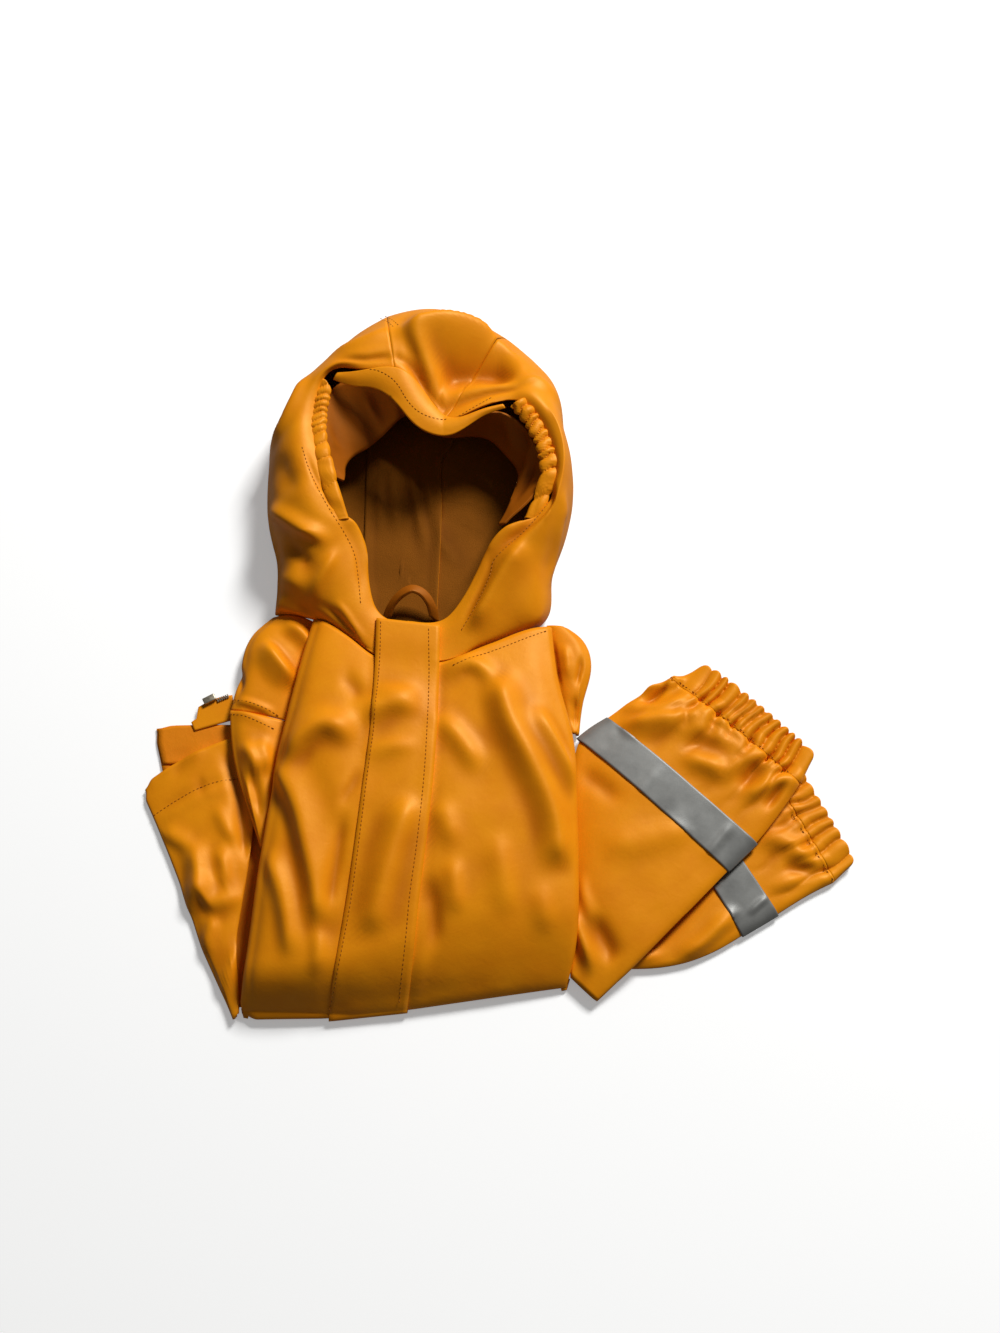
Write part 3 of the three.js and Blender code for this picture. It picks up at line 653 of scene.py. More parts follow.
def scrunch(piece, numbers, grooves, height, lean, tail):
    """Scrunch a casing on its elastic: swellings between uneven pinches, slanting round it. It leans out over
    the hood's edge, and its lower end is drawn out by the tail."""
    places, _, way, run, _ = lay(numbers, surface_of([piece]), step=0.001)
    places[:, 2] -= 0.0035
    rest = places_of(piece)
    away = rest[:, None, :] - places[None]
    k = np.argmin(np.einsum("nkc,nkc->nk", away, away), axis=1)
    out = away[np.arange(len(rest)), k]
    out -= np.einsum("nc,nc->n", out, way[k])[:, None] * way[k]
    far = np.linalg.norm(out, axis=1, keepdims=True)
    out /= np.maximum(far, 1e-5)
    slant = 0.0016 * out[:, 2] + 0.0022 * out[:, 0] + 0.0012 * drift(rest, 0.009, 11)
    bulge = scallops(run[k] + slant, np.array(grooves) * MM) - 0.5
    moved = rest + out * (height * MM * bulge + 0.0008 * drift(rest, 0.006, 5))[:, None]
    moved[:, 0] += lean * MM * np.clip(math.copysign(1, lean) * out[:, 0], 0, 1)
    drawn = np.clip((run[k] / run[-1] - 0.72) / 0.28, 0, 1) ** 2
    moved += drawn[:, None] * np.array(tail) * MM - (0.35 * drawn * far[:, 0])[:, None] * out
    set_places(piece, moved)


def splay(piece, left, right, push):
    """Push a piece's two sides outward, past a left and a right place."""
    rest = places_of(piece)
    past_right = np.clip((rest[:, 0] - right) / SPLAY_FADE, 0, 1)
    past_left = np.clip((left - rest[:, 0]) / SPLAY_FADE, 0, 1)
    rest[:, 0] += push * (past_right - past_left)
    set_places(piece, rest)


# ---------------------------------------------------------------- materials


def socket(group, name, kind, way, value=None):
    """Add a named input or output to a shader group."""
    made = group.interface.new_socket(name=name, in_out=way, socket_type=kind)
    if value is not None:
        made.default_value = value
    return made


def node(tree, kind, **inputs):
    """Add a shader node and set its inputs by name."""
    made = tree.nodes.new(kind)
    for name, value in inputs.items():
        made.inputs[name.replace("_", " ")].default_value = value
    return made


def figure(tree, operation, *values):
    """Add a Math node on numbers and other nodes' outputs, and give its result."""
    made = tree.nodes.new("ShaderNodeMath")
    made.operation = operation
    for spot, value in enumerate(values):
        if isinstance(value, bpy.types.NodeSocket):
            tree.links.new(value, made.inputs[spot])
        else:
            made.inputs[spot].default_value = value
    return made.outputs["Value"]


def textures(tree, *made):
    """Lay textures out over the piece's own shape."""
    where = tree.nodes.new("ShaderNodeTexCoord")
    for texture in made:
        tree.links.new(where.outputs["Object"], texture.inputs["Vector"])


def start_material(title, **values):
    """A new material with its tree and its shader, and the shader's values by name."""
    made = bpy.data.materials.new(title)
    made.use_nodes = True
    shader = made.node_tree.nodes["Principled BSDF"]
    for name, value in values.items():
        shader.inputs[name.replace("_", " ")].default_value = value
    return made, made.node_tree, shader


def emboss(tree, shader, height, strength, distance):
    """Bump a shader's surface by a height."""
    relief = node(tree, "ShaderNodeBump", Strength=strength, Distance=distance)
    tree.links.new(height, relief.inputs["Height"])
    tree.links.new(relief.outputs["Normal"], shader.inputs["Normal"])


def mottle(tree, shader, pattern, colour, places, shares, rough):
    """Run a shader's colour from darker to lighter with a pattern, and its roughness with it."""
    ramp = tree.nodes.new("ShaderNodeValToRGB")
    for element, place, share in zip(ramp.color_ramp.elements, places, shares):
        element.position = place
        element.color = (*(share * c for c in colour), 1)
    tree.links.new(pattern, ramp.inputs["Fac"])
    tree.links.new(ramp.outputs["Color"], shader.inputs["Base Color"])
    tree.links.new(figure(tree, "MULTIPLY_ADD", pattern, *rough), shader.inputs["Roughness"])


def coated_group():
    """Colour, roughness and height of cloth with a knit under a coat, darker down in folds as painted shade.
    """
    group = bpy.data.node_groups.new("Coated knit", "ShaderNodeTree")
    socket(group, "Colour", "NodeSocketColor", "INPUT", (0.8, 0.3, 0.02, 1))
    socket(group, "Deep colour", "NodeSocketColor", "INPUT", (0.7, 0.25, 0.01, 1))
    socket(group, "Grain count", "NodeSocketFloat", "INPUT", 1400.0)
    socket(group, "Grain share", "NodeSocketFloat", "INPUT", 0.25)
    socket(group, "Roughness", "NodeSocketFloat", "INPUT", 0.4)
    socket(group, "Crumple share", "NodeSocketFloat", "INPUT", 0.5)
    socket(group, "Painted shade", "NodeSocketFloat", "INPUT", 0.0)
    socket(group, "Colour", "NodeSocketColor", "OUTPUT")
    socket(group, "Roughness", "NodeSocketFloat", "OUTPUT")
    socket(group, "Height", "NodeSocketFloat", "OUTPUT")
    link = group.links.new
    given = group.nodes.new("NodeGroupInput").outputs
    out = group.nodes.new("NodeGroupOutput").inputs
    patches = node(group, "ShaderNodeTexNoise", Scale=26.0, Detail=3.0, Roughness=0.6)
    knit = node(group, "ShaderNodeTexVoronoi", Randomness=0.55)
    crumple = node(group, "ShaderNodeTexNoise", Scale=150.0, Detail=4.0, Roughness=0.55, Distortion=0.6)
    textures(group, patches, knit, crumple)
    link(given["Grain count"], knit.inputs["Scale"])
    spread = node(group, "ShaderNodeMapRange", From_Min=0.35, From_Max=0.72)
    link(patches.outputs["Fac"], spread.inputs["Value"])
    loops = figure(group, "MULTIPLY", knit.outputs["Distance"], 0.55)
    soft = figure(group, "MULTIPLY", spread.outputs["Result"], 0.6)
    both = figure(group, "ADD", soft, loops)
    both.node.use_clamp = True
    tint = group.nodes.new("ShaderNodeMix")
    tint.data_type = "RGBA"
    link(both, tint.inputs["Factor"])
    link(given["Colour"], tint.inputs["A"])
    link(given["Deep colour"], tint.inputs["B"])
    # Painted shade: where the cloth lies deep in a fold, seam or groove, its colour is multiplied toward a
    # dim red-brown.
    shade = group.nodes.new("ShaderNodeMix")
    shade.data_type = "RGBA"
    shade.blend_type = "MULTIPLY"
    shade.inputs["B"].default_value = (0.60, 0.46, 0.36, 1)
    link(given["Painted shade"], shade.inputs["Factor"])
    link(tint.outputs["Result"], shade.inputs["A"])
    link(shade.outputs["Result"], out["Colour"])
    less = figure(group, "SUBTRACT", given["Roughness"], 0.08)
    link(figure(group, "MULTIPLY_ADD", patches.outputs["Fac"], 0.16, less), out["Roughness"])
    grain = figure(group, "MULTIPLY", knit.outputs["Distance"], given["Grain share"])
    folds = figure(group, "MULTIPLY_ADD", crumple.outputs["Fac"], given["Crumple share"], grain)
    link(folds, out["Height"])
    return group


def cloth_material(title, colour, deep, roughness, grain_share, crumple, bump, sheen):
    """A material of coated or bare knit."""
    cloth = bpy.context.scene.cloth_settings
    made, tree, shader = start_material(
        title, Sheen_Weight=sheen, Sheen_Roughness=0.4, Sheen_Tint=(1.0, 0.72, 0.35, 1),
        Specular_IOR_Level=0.5, Specular_Tint=(1.0, 0.66, 0.26, 1),
    )
    effect = tree.nodes.new("ShaderNodeGroup")
    effect.node_tree = bpy.data.node_groups.get("Coated knit") or coated_group()
    for name, value in (
        ("Colour", (*colour, 1)),
        ("Deep colour", (*deep, 1)),
        ("Grain count", 1 / cloth.grain),
        ("Grain share", grain_share),
        ("Roughness", roughness),
        ("Crumple share", crumple),
    ):
        effect.inputs[name].default_value = value
    # Painted shade stored on each piece, which darkens the colour down in its folds.
    hollow_shade = tree.nodes.new("ShaderNodeAttribute")
    hollow_shade.attribute_name = "hollow_shade"
    tree.links.new(hollow_shade.outputs["Fac"], effect.inputs["Painted shade"])
    tree.links.new(effect.outputs["Colour"], shader.inputs["Base Color"])
    tree.links.new(effect.outputs["Roughness"], shader.inputs["Roughness"])
    emboss(tree, shader, effect.outputs["Height"], bump, 0.0008)
    return made


def darker(colour, share):
    """A colour with a share of its light."""
    return tuple(share * c for c in colour)


def material(name):
    """The named finish, made the first time that it is asked for."""
    title = "Finish " + name
    made = bpy.data.materials.get(title)
    if made:
        return made
    cloth = bpy.context.scene.cloth_settings
    trim = bpy.context.scene.trim_settings
    if name == "tape":
        return tape_material(title, trim.tape)
    if name == "metal":
        return metal_material(title, trim.metal)
    # finish: colour, deeper colour, roughness, grain share, crumple share, bump, sheen
    recipes = {
        "coat": (cloth.coat, cloth.coat_deep, cloth.roughness, 0.16, 0.6, 0.30, 0.0),
        # Partly painted shade: the hem's inner face, redder and darker than the coat.
        "inside": (cloth.inside, cloth.coat_deep, 0.6, 0.3, 0.9, 0.5, 0.0),
        # Painted shade: the mouth's strip, darkened for the shade under the brim.
        "shaded_facing": (cloth.shaded_facing, darker(cloth.shaded_facing, 0.8), 0.5, 0.2, 0.6, 0.35, 0.0),
        # Partly painted shade: the bare knit, darker and redder for the shade inside the hood.
        "knit back and shade": (cloth.knit_back_and_shade, darker(cloth.knit_back_and_shade, 0.72), 0.82, 0.7, 0.4, 0.6, 0.05),
        "thread": (trim.thread, darker(trim.thread, 0.75), 0.6, 0.5, 0.1, 0.4, 0.1),
    }
    return cloth_material(title, *recipes[name])


def tape_material(title, colour):
    """Reflective tape: a grey ground of fine glass beads, with worn streaks."""
    made, tree, shader = start_material(title, Metallic=0.35, Specular_IOR_Level=0.6)
    beads = node(tree, "ShaderNodeTexVoronoi", Scale=2200.0, Randomness=0.8)
    wear = node(tree, "ShaderNodeTexNoise", Scale=38.0, Detail=5.0, Roughness=0.6)
    textures(tree, beads, wear)
    mottle(tree, shader, wear.outputs["Fac"], colour, (0.3, 0.75), (0.82, 1.25), (0.16, 0.38))
    emboss(tree, shader, beads.outputs["Distance"], 0.12, 0.0004)
    return made


def metal_material(title, colour):
    """Zip metal, dull, with patches of tarnish."""
    made, tree, shader = start_material(title, Metallic=0.9)
    tarnish = node(tree, "ShaderNodeTexNoise", Scale=420.0, Detail=4.0)
    textures(tree, tarnish)
    mottle(tree, shader, tarnish.outputs["Fac"], colour, (0.0, 1.0), (0.6, 1.3), (0.25, 0.28))
    emboss(tree, shader, tarnish.outputs["Fac"], 0.2, 0.0002)
    return made


# ---------------------------------------------------------------- the folds of each group

# In each table a row is a fold: its height, its widths on the left and right of its line, in millimetres,
# and then the line's plan places.
BODY_FOLDS = (
    # the rolls at the bottom and the sides
    (-4.0, 8, 16, 62, -20, 64, -70, 63, -122, 62, -170, 61, -215, 58, -250),
    (-2.0, 10, 8, -158, 14, -167, -20, -173, -64, -180, -110, -187, -169, -191, -228, -193, -262),
    # viewer's left: the right front
    (7.0, 22, 12, -178, -82, -167, -92, -158, -108, -151, -126, -146, -146, -141, -166, -137, -188,
     -135, -214),
    (4.0, 14, 9, -180, -150, -172, -162, -164, -182, -158, -206, -154, -236),
    (6.5, 24, 8, -164, -88, -152, -68, -139, -58, -126, -60, -108, -68),
    (-2.0, 6, 6, -103, -90, -112, -104, -123, -122),
    (-2.0, 9, 9, -126, -12, -114, -24, -106, -36),
    (-2.6, 5, 9, -116, -122, -120, -150, -124, -178, -128, -205),
    (2.4, 10, 8, -138, -206, -134, -226, -136, -246),
    # the storm flap
    (5.0, 20, 7, -106, -56, -94, -44, -78, -40, -58, -44),
    (2.6, 10, 5, -102, -84, -84, -74, -62, -75),
    (6.0, 12, 16, -66, -108, -74, -134, -82, -160, -89, -190, -96, -220),
    (2.0, 9, 9, -98, -22, -84, -29, -62, -28),
    # viewer's right: the left front
    (7.0, 20, 15, -8, -12, -1, -24, 4, -42, 10, -58, 18, -74, 26, -92, 33, -108, 39, -126, 42, -146,
     41, -168),
    (3.6, 12, 7, -46, -16, -35, -7, -23, -4, -12, -11, -6, -24),
    (5.0, 9, 10, 24, -36, 32, -50, 41, -66, 50, -84, 57, -104),
    (4.0, 14, 8, -54, -46, -44, -53, -33, -66, -23, -80, -14, -96),
    (3.0, 12, 8, -50, -114, -41, -132, -34, -152),
    (-5.0, 7, 6, -56, -168, -52, -186, -49, -204, -50, -230),
    (3.4, 9, 9, -36, -156, -34, -180, -31, -204),
    (2.6, 14, 14, -4, -136, 2, -172, 6, -206),
    (2.0, 10, 12, 28, -176, 33, -196, 35, -216),
    (3.0, 6, 7, -54, -222, -60, -244, -67, -266),
)

# Corners that are rounded or drawn along: the piece, the plan place, the reach and the move.
CORNERS = (
    ("lower_back", -283, -97, 13, 4, -1.5),
    ("lower_back", -209, -266, 60, 9, -8),
    ("lower_fronts", -277, -46, 17, 3, -2.2),
    ("lower_front_hem", -275, -46.5, 17, 3, -2.2),
    ("right_shoulder", -188, 24, 34, -6, 5),
    ("lower_fronts", -205, -258, 50, 7, -7),
    ("right_front", -195.5, -276, 15, 3.5, 3.5),
)

# The edge that the body rolls under at, and how deep the roll is at each of its places.
BOTTOM_EDGE = (-206, -268, -136, -270, -109, -271, -74, -268, -15, -259, 26, -253, 66, -247)
BOTTOM_DEPTH = (34, 36, 44, 54, 62, 60, 56)
# The strip that the flap's two rows of stitching hold up, and the groove beside it.
FLAP_STRIP = (
    (-1.1, 2.4, 2.4, -59, 24, -58, -22, -60, -88, -64, -144, -69, -186, -72, -222, -78, -268),
    (1.2, 3.4, 2.4, -53.5, 24, -52, -22, -54, -88, -58.5, -144, -64, -186, -67.5, -222, -74, -266),
    (-1.2, 2.2, 2.0, -49, 24, -47.5, -22, -49.5, -88, -54, -144, -59.5, -186, -62.5, -222, -69, -264),
    (0.9, 2.6, 2.2, -95, 30, -97, -2, -98.5, -54, -102.5, -94, -105.5, -127, -110, -176, -115, -211,
     -122, -248, -128, -270),
)

LOWER_FOLDS = (
    (1.6, 4, 3, -284, -100, -268, -84, -246, -73, -224, -66),
    (-1.8, 3, 3, -272, -121, -252, -108, -234, -98, -218, -93, -204, -90),
    (1.3, 3, 5, -270, -125, -250, -112, -232, -102, -204, -94),
    (-1.2, 3, 3, -240, -86, -235, -94, -231, -106),
    (-3.0, 8, 7, -220, -60, -214, -78, -206, -100, -200, -130, -196, -160),
    (-1.6, 9, 12, -276, -116, -262, -146, -250, -180, -240, -214, -232, -246),
    (4.3, 14, 12, -240, -136, -234, -154, -230, -172, -227, -192),
    (3.2, 9, 8, -216, -142, -212, -160, -210, -180),
    (3.6, 16, 8, -246, -184, -238, -190, -229, -178, -220, -189, -204, -186, -190, -184),
    (2.6, 8, 7, -224, -228, -219, -210, -216, -196),
    (3.3, 8, 7, -210, -256, -202, -236, -193, -212),
    (2.4, 12, 7, -264, -130, -252, -138, -236, -146),
    (2.0, 9, 8, -224, -110, -214, -126, -206, -144),
    (-1.2, 7, 7, -246, -62, -252, -76, -256, -90),
    (1.0, 6, 6, -236, -58, -240, -74, -244, -84),
)

SHOULDER_FOLDS = (
    (6.0, 6, 17, -194, 21, -184, 13, -176, 3, -168, -8, -162, -18),
    (5.0, 6, 10, -176, 38, -163, 31, -154, 20, -150, 8),
    (-2.4, 6, 6, -212, 10, -208, -8, -206, -26),
    (2.4, 4, 3, -213, -29, -200, -32, -186, -37, -175, -42),
    (-1.4, 3, 3, -213, -33, -200, -36, -186, -41, -175, -46),
)

SLEEVE_HEAD_FOLDS = (
    (1.8, 3, 4, -213, -38, -200, -41, -186, -47, -176, -51),
    (4.5, 10, 9, -202, -62, -193, -76, -187, -92),
    (3.0, 8, 8, -190, -60, -183, -74, -180, -88),
    (4.5, 9, 9, -204, -98, -197, -116, -191, -136),
    (-2.6, 7, 7, -196, -84, -189, -104, -185, -126),
)

LEFT_HEAD_FOLDS = (
    (-2.4, 3, 4, 42, 26, 44, 8, 46, -8, 50, -22),
    (2.0, 5, 6, 52, 20, 54, 2, 54, -12),
    (-2.4, 3, 4, 66, 10, 64, -4, 60, -18),
    (-3.0, 6, 7, 60, -24, 60, -38, 60, -52),
)

SLEEVE_FOLDS = (
    # the fan of puckers that runs in from the cuff
    (3.8, 5, 9, 152, -5, 136, -13, 120, -18, 102, -24),
    (4.5, 5, 8, 160, -26, 144, -31, 126, -36, 108, -34, 96, -28),
    (7.0, 16, 8, 170, -37, 150, -42, 132, -44, 112, -45, 92, -47),
    (5.2, 9, 11, 178, -94, 164, -83, 152, -79, 140, -79),
    (5.2, 7, 8, 208, -70, 193, -76, 180, -83, 169, -94),
    (4.5, 8, 9, 230, -90, 213, -95, 200, -102, 184, -108),
    (3.8, 7, 6, 190, -64, 173, -61, 160, -56, 146, -60),
    (-4.6, 4, 7, 139, -8, 125, -22, 112, -33),
    (-4.4, 5, 6, 160, -36, 150, -46, 138, -50),
    (-5.2, 4, 8, 176, -50, 164, -62, 152, -70, 144, -74),
    (-5.2, 6, 6, 206, -82, 195, -92, 183, -98),
    (-4.0, 4, 5, 223, -92, 214, -106, 204, -118),
    # below the tape
    (-2.5, 9, 9, 58, -84, 72, -92, 84, -102, 98, -112),
    (2.2, 18, 12, 74, -148, 104, -144, 128, -138, 150, -130),
    (6.2, 4, 8, 57, -188, 61, -206, 67, -224, 73, -242),
    (-5.0, 12, 6, 66, -198, 76, -216, 88, -236),
    (2.4, 6, 8, 62, -166, 66, -190, 76, -208),
    # the tape's own crumples, across it
    (0.8, 7, 4, 128, -80, 113, -97, 98, -116),
    (0.9, 7, 4, 182, -124, 166, -143, 152, -160),
)

UNDER_SLEEVE_FOLDS = (
    (-3.0, 10, 12, 176, -152, 160, -172, 142, -194, 122, -214, 104, -228),
    (4.0, 10, 10, 196, -142, 214, -139, 230, -147, 242, -160),
    (2.0, 7, 7, 236, -168, 222, -172, 206, -178),
    (-2.6, 6, 7, 246, -160, 232, -163, 216, -160),
    (4.0, 8, 10, 184, -190, 167, -205, 151, -219, 132, -231),
    (1.6, 6, 6, 122, -228, 110, -228, 98, -232),
    (1.2, 4, 4, 206, -182, 196, -190, 188, -198),
)

HOOD_FOLDS = (
    # over the crown
    (3.0, 7, 9, -146, 258, -128, 262, -110, 268, -96, 275, -84, 281),
    (-13.0, 48, 9, -56, 226, -38, 233, -18, 238, 2, 238, 18, 236),
    (5.2, 9, 20, -90, 270, -76, 277, -62, 284, -46, 288, -30, 289, -14, 285, 0, 276),
    (3.4, 12, 9, -72, 282, -68, 266, -60, 250, -52, 234, -46, 220),
    (-2.4, 3, 4, -142, 249, -126, 249, -110, 247, -94, 249, -82, 248, -72, 242, -62, 227, -54, 214, -46, 206),
    (-1.8, 3, 3, -46, 206, -34, 213, -20, 218, -2, 222, 12, 222),
    (1.8, 6, 3, -44, 214, -32, 220, -18, 224, 0, 228, 18, 227),
    (3.0, 8, 10, 12, 227, 28, 235, 44, 226, 53, 212),
    (-2.0, 4, 4, 4, 286, 9, 274, 14, 262),
    (-1.6, 3, 3, -4, 282, 2, 270),
    # the viewer's left side
    (4.0, 9, 7, -198, 181, -186, 186, -177, 196, -169, 212, -163, 228, -157, 246),
    (-2.4, 18, 18, -182, 172, -174, 150, -160, 128),
    (5.4, 11, 6, -194, 129, -182, 122, -170, 112, -158, 103, -146, 96, -134, 87),
    (-3.4, 7, 12, -176, 98, -160, 84, -146, 66),
    (4.0, 8, 5, -131, 90, -138, 75, -146, 61, -153, 46),
    (2.2, 6, 7, -186, 72, -174, 69, -162, 63, -153, 56),
    (2.8, 5, 4, -186, 51, -172, 48, -156, 43, -140, 35, -126, 25, -108, 8),
    (-2.0, 3, 3, -150, 50, -136, 42, -126, 32, -116, 20, -108, 8),
    (1.6, 4, 4, -134, 50, -124, 40, -116, 28, -106, 14),
    # the strip along the hood's mouth, with its stitched groove
    (1.2, 3, 3, -150, 172, -144, 154, -136, 138, -126, 122, -115, 106, -109, 92, -106, 74, -103, 48),
    (-1.4, 3, 3, -157, 170, -151, 152, -143, 135, -133, 118, -122, 102, -115, 88, -112, 72, -109, 46),
    (1.2, 3, 3, 33, 148, 34, 138, 26, 126, 12, 110, -4, 95, -14, 84, -18, 74, -28, 54, -42, 34),
    (-1.6, 3, 3, 40, 146, 40, 134, 32, 121, 18, 105, 3, 91, -7, 80, -10, 68, -20, 46, -32, 26),
    # the viewer's right side
    (5.0, 7, 16, -26, 22, -12, 44, -2, 62, 8, 78, 22, 96),
    (-4.0, 5, 9, 42, 150, 40, 126, 28, 110, 12, 96, -2, 84),
    (2.6, 10, 10, 36, 60, 42, 84, 48, 110, 52, 140),
)

# The crown's facet: the crest and how far each of its places is lifted, the seam and how far it sinks.
CROWN_CREST = (-82, 276, -64, 284, -46, 288, -30, 288, -12, 283, 6, 271, 22, 255, 38, 238)
CROWN_LIFTS = (7, 9, 11, 12, 12, 9, 5, 2)
CROWN_SEAM = (-78, 248, -70, 240, -58, 222, -46, 208, -30, 216, -10, 222, 12, 224, 36, 236)
CROWN_SINK = 0.007
# The hanger loop's path, with heights.
LOOP_PATH = (-93, 44, 6, -90, 52, 12, -82, 60, 18, -72, 66, 21, -62, 62, 19, -55, 53, 13, -53, 44, 6)

HOOD_FLOOR_FOLDS = (
    (1.8, 6, 5, -102, 182, -103, 165, -102, 144, -98, 124),
    (1.5, 6, 6, -90, 182, -91, 165, -88, 140, -84, 122),
    (2.6, 7, 5, -74, 184, -74, 165, -70, 146, -66, 124, -56, 104),
    (1.8, 6, 6, -60, 182, -61, 165, -57, 142, -50, 114, -40, 92),
    (1.8, 7, 7, -32, 180, -30, 160, -26, 134, -16, 118),
    (1.6, 6, 7, -10, 176, -8, 154, -6, 134),
)

FACING_FOLDS = (
    (1.6, 5, 5, -130, 224, -116, 206, -104, 194),
    (-1.6, 5, 5, -112, 226, -104, 212, -96, 202),
    (1.4, 5, 5, -140, 200, -134, 186, -128, 176),
    (-1.6, 4, 4, -138, 172, -132, 160, -124, 150),
    (1.6, 5, 5, 4, 206, 8, 190, 12, 176),
    (-1.6, 5, 5, 14, 196, 18, 184, 22, 172),
    (1.6, 5, 5, 24, 186, 20, 164, 12, 144),
    (-1.4, 5, 5, 26, 166, 18, 146, 8, 128),
)

HOOD_SHELL = ("hood_left_panel", "hood_right_panel", "hood_centre_panel", "hood_facing", "hood_brim")
# Where the elastic's grooves lie, as shares of the way along each cuff.
CUFF_GROOVES = (-0.05, 0.125, 0.20, 0.255, 0.355, 0.415, 0.47, 0.53, 0.605, 0.675, 0.75, 0.81, 0.87, 1.05)
UNDER_CUFF_GROOVES = (-0.03, 0.09, 0.18, 0.25, 0.33, 0.42, 0.50, 0.60, 0.68, 0.78, 0.90, 1.05)
# casing: its line, the pinches in millimetres along it, the height, the lean and its lower end's tail
CASINGS = {
    "hood_casing_left": (
        (6, 213, 18, 205, 30, 191, 38, 176, 40, 160, 39, 142, 34, 128),
        (-4, 8, 15, 24, 30, 40, 47, 57, 63, 74, 90, 108, 125, 150), 3.0, 3.0, (-7, -15, -6),
    ),
    "hood_casing_right": (
        (-142, 240, -145, 220, -147, 202, -144, 184, -138, 162, -135, 144, -130, 130),
        (-4, 14, 22, 27, 33, 38, 44, 50, 57, 66, 80, 98, 120, 150), 1.6, -3.0, (7, -16, -6),
    ),
}


# group: the pieces that the stitches lie on, and the lines of stitching
STITCHES = {
    "body": (
        ("storm_flap", "left_front", "right_front"),
        (
            (-94.6, 30, -94.6, -2, -97, -54, -101, -94, -104, -127, -109, -176, -114, -211, -121, -248,
             -127, -268),
            (-56.5, 24, -55.6, -22, -57.4, -88, -62, -144, -67, -186, -70, -222, -75, -262),
            (-36, -5, -20, 2, 0, 10, 20, 19, 36, 26),
        ),
    ),
    "lower": (
        ("lower_back",),
        ((-270, -119, -252, -107, -234, -97, -218, -92, -206, -90),),
    ),
    "armhole": (
        ("right_shoulder", "right_sleeve_head"),
        ((-213, -28, -200, -31, -186, -36, -176, -41), (-213, -40, -200, -43, -186, -49, -179, -52)),
    ),
    "hood": (
        ("hood_left_panel", "hood_right_panel", "hood_centre_panel", "hood_brim"),
        (
            (-100, 296, -94, 288, -87, 277),
            (-96, 298, -90, 290, -83, 279),
            (-127, 241, -112, 237, -98, 234, -85, 225, -74, 208, -64, 199, -50, 195, -39, 197, -24, 206,
             -8, 216),
            (-159, 169, -153, 151, -145, 134, -135, 117, -124, 101, -117, 87, -114, 72, -111, 47),
            (42, 146, 42, 133, 34, 119, 20, 103, 5, 89, -5, 79, -8, 67, -18, 45, -30, 25),
        ),
    ),
    "cuffs": (
        ("left_cuff", "left_sleeve", "right_cuff", "right_sleeve"),
        ((142, -10, 188, -53, 234, -96), (226, -116, 242, -146, 257, -172)),
    ),
}
# One stitch's stations: the share of its length, of its thickness, and of its rise.
STITCH_STATIONS = (
    (-0.5, 0.25, -0.9),
    (-0.36, 0.9, 0.0),
    (0.0, 1.0, 0.35),
    (0.36, 0.9, 0.0),
    (0.5, 0.25, -0.9),
)
STITCH_SIDES = 4
KEY_PLACE = (1.41, 2.23, 2.40)
KEY_SIZE = 0.9


# ---------------------------------------------------------------- operators


class JACKET_OT_body(bpy.types.Operator):
    """Make both fronts, the storm flap and the layers folded under them"""

    bl_idname = "jacket.body"
    bl_label = "Body"

    def execute(self, context):
        levels = {"right_front": 3, "left_front": 3, "storm_flap": 3, "folded_layers": 2}
        pieces = [grow(name, level) for name, level in levels.items()]
        press(pieces, BODY_FOLDS, on=pieces[:3], reach=0.012)
        press(pieces[:3], FLAP_STRIP, reach=0.004)
        roll(pieces, BOTTOM_EDGE, BOTTOM_DEPTH, 0.62)
        for name, piece in zip(levels, pieces):
            ripple(piece, 0.034, 0.9, 2)
            settle(piece, name, "folded", ["lower_fronts"])
        return {"FINISHED"}


class JACKET_OT_lower(bpy.types.Operator):
    """Make the lower back and the lower fronts, which are folded under and show at the side"""

    bl_idname = "jacket.lower"
    bl_label = "Lower panels"

    def execute(self, context):
        names = ("lower_back", "lower_fronts", "lower_front_hem")
        back, fronts, hem = pieces = [grow(name, 3) for name in names]
        press(pieces, LOWER_FOLDS, reach=0.005)
        ripple(back, 0.028, 0.8, 4)
        settle(back, "lower_back", "folded", ["lower_fronts"])
        # The lower fronts and their hem take the redder orange, partly painted shade.
        settle(fronts, "lower_fronts", "folded", ["stage_floor"], "inside")
        settle(hem, "lower_front_hem", "folded", ["lower_fronts"], "inside")
        return {"FINISHED"}


class JACKET_OT_shoulders(bpy.types.Operator):
    """Make the shoulder and the heads of both sleeves"""

    bl_idname = "jacket.shoulders"
    bl_label = "Shoulders"

    def execute(self, context):
        for name, rows in (
            ("right_shoulder", SHOULDER_FOLDS),
            ("right_sleeve_head", SLEEVE_HEAD_FOLDS),
            ("left_sleeve_head", LEFT_HEAD_FOLDS),
        ):
            piece = grow(name, 3)
            press([piece], rows, reach=0.006)
            ripple(piece, 0.022, 0.7, 6)
            settle(piece, name, "folded", ["lower_fronts"])
        return {"FINISHED"}


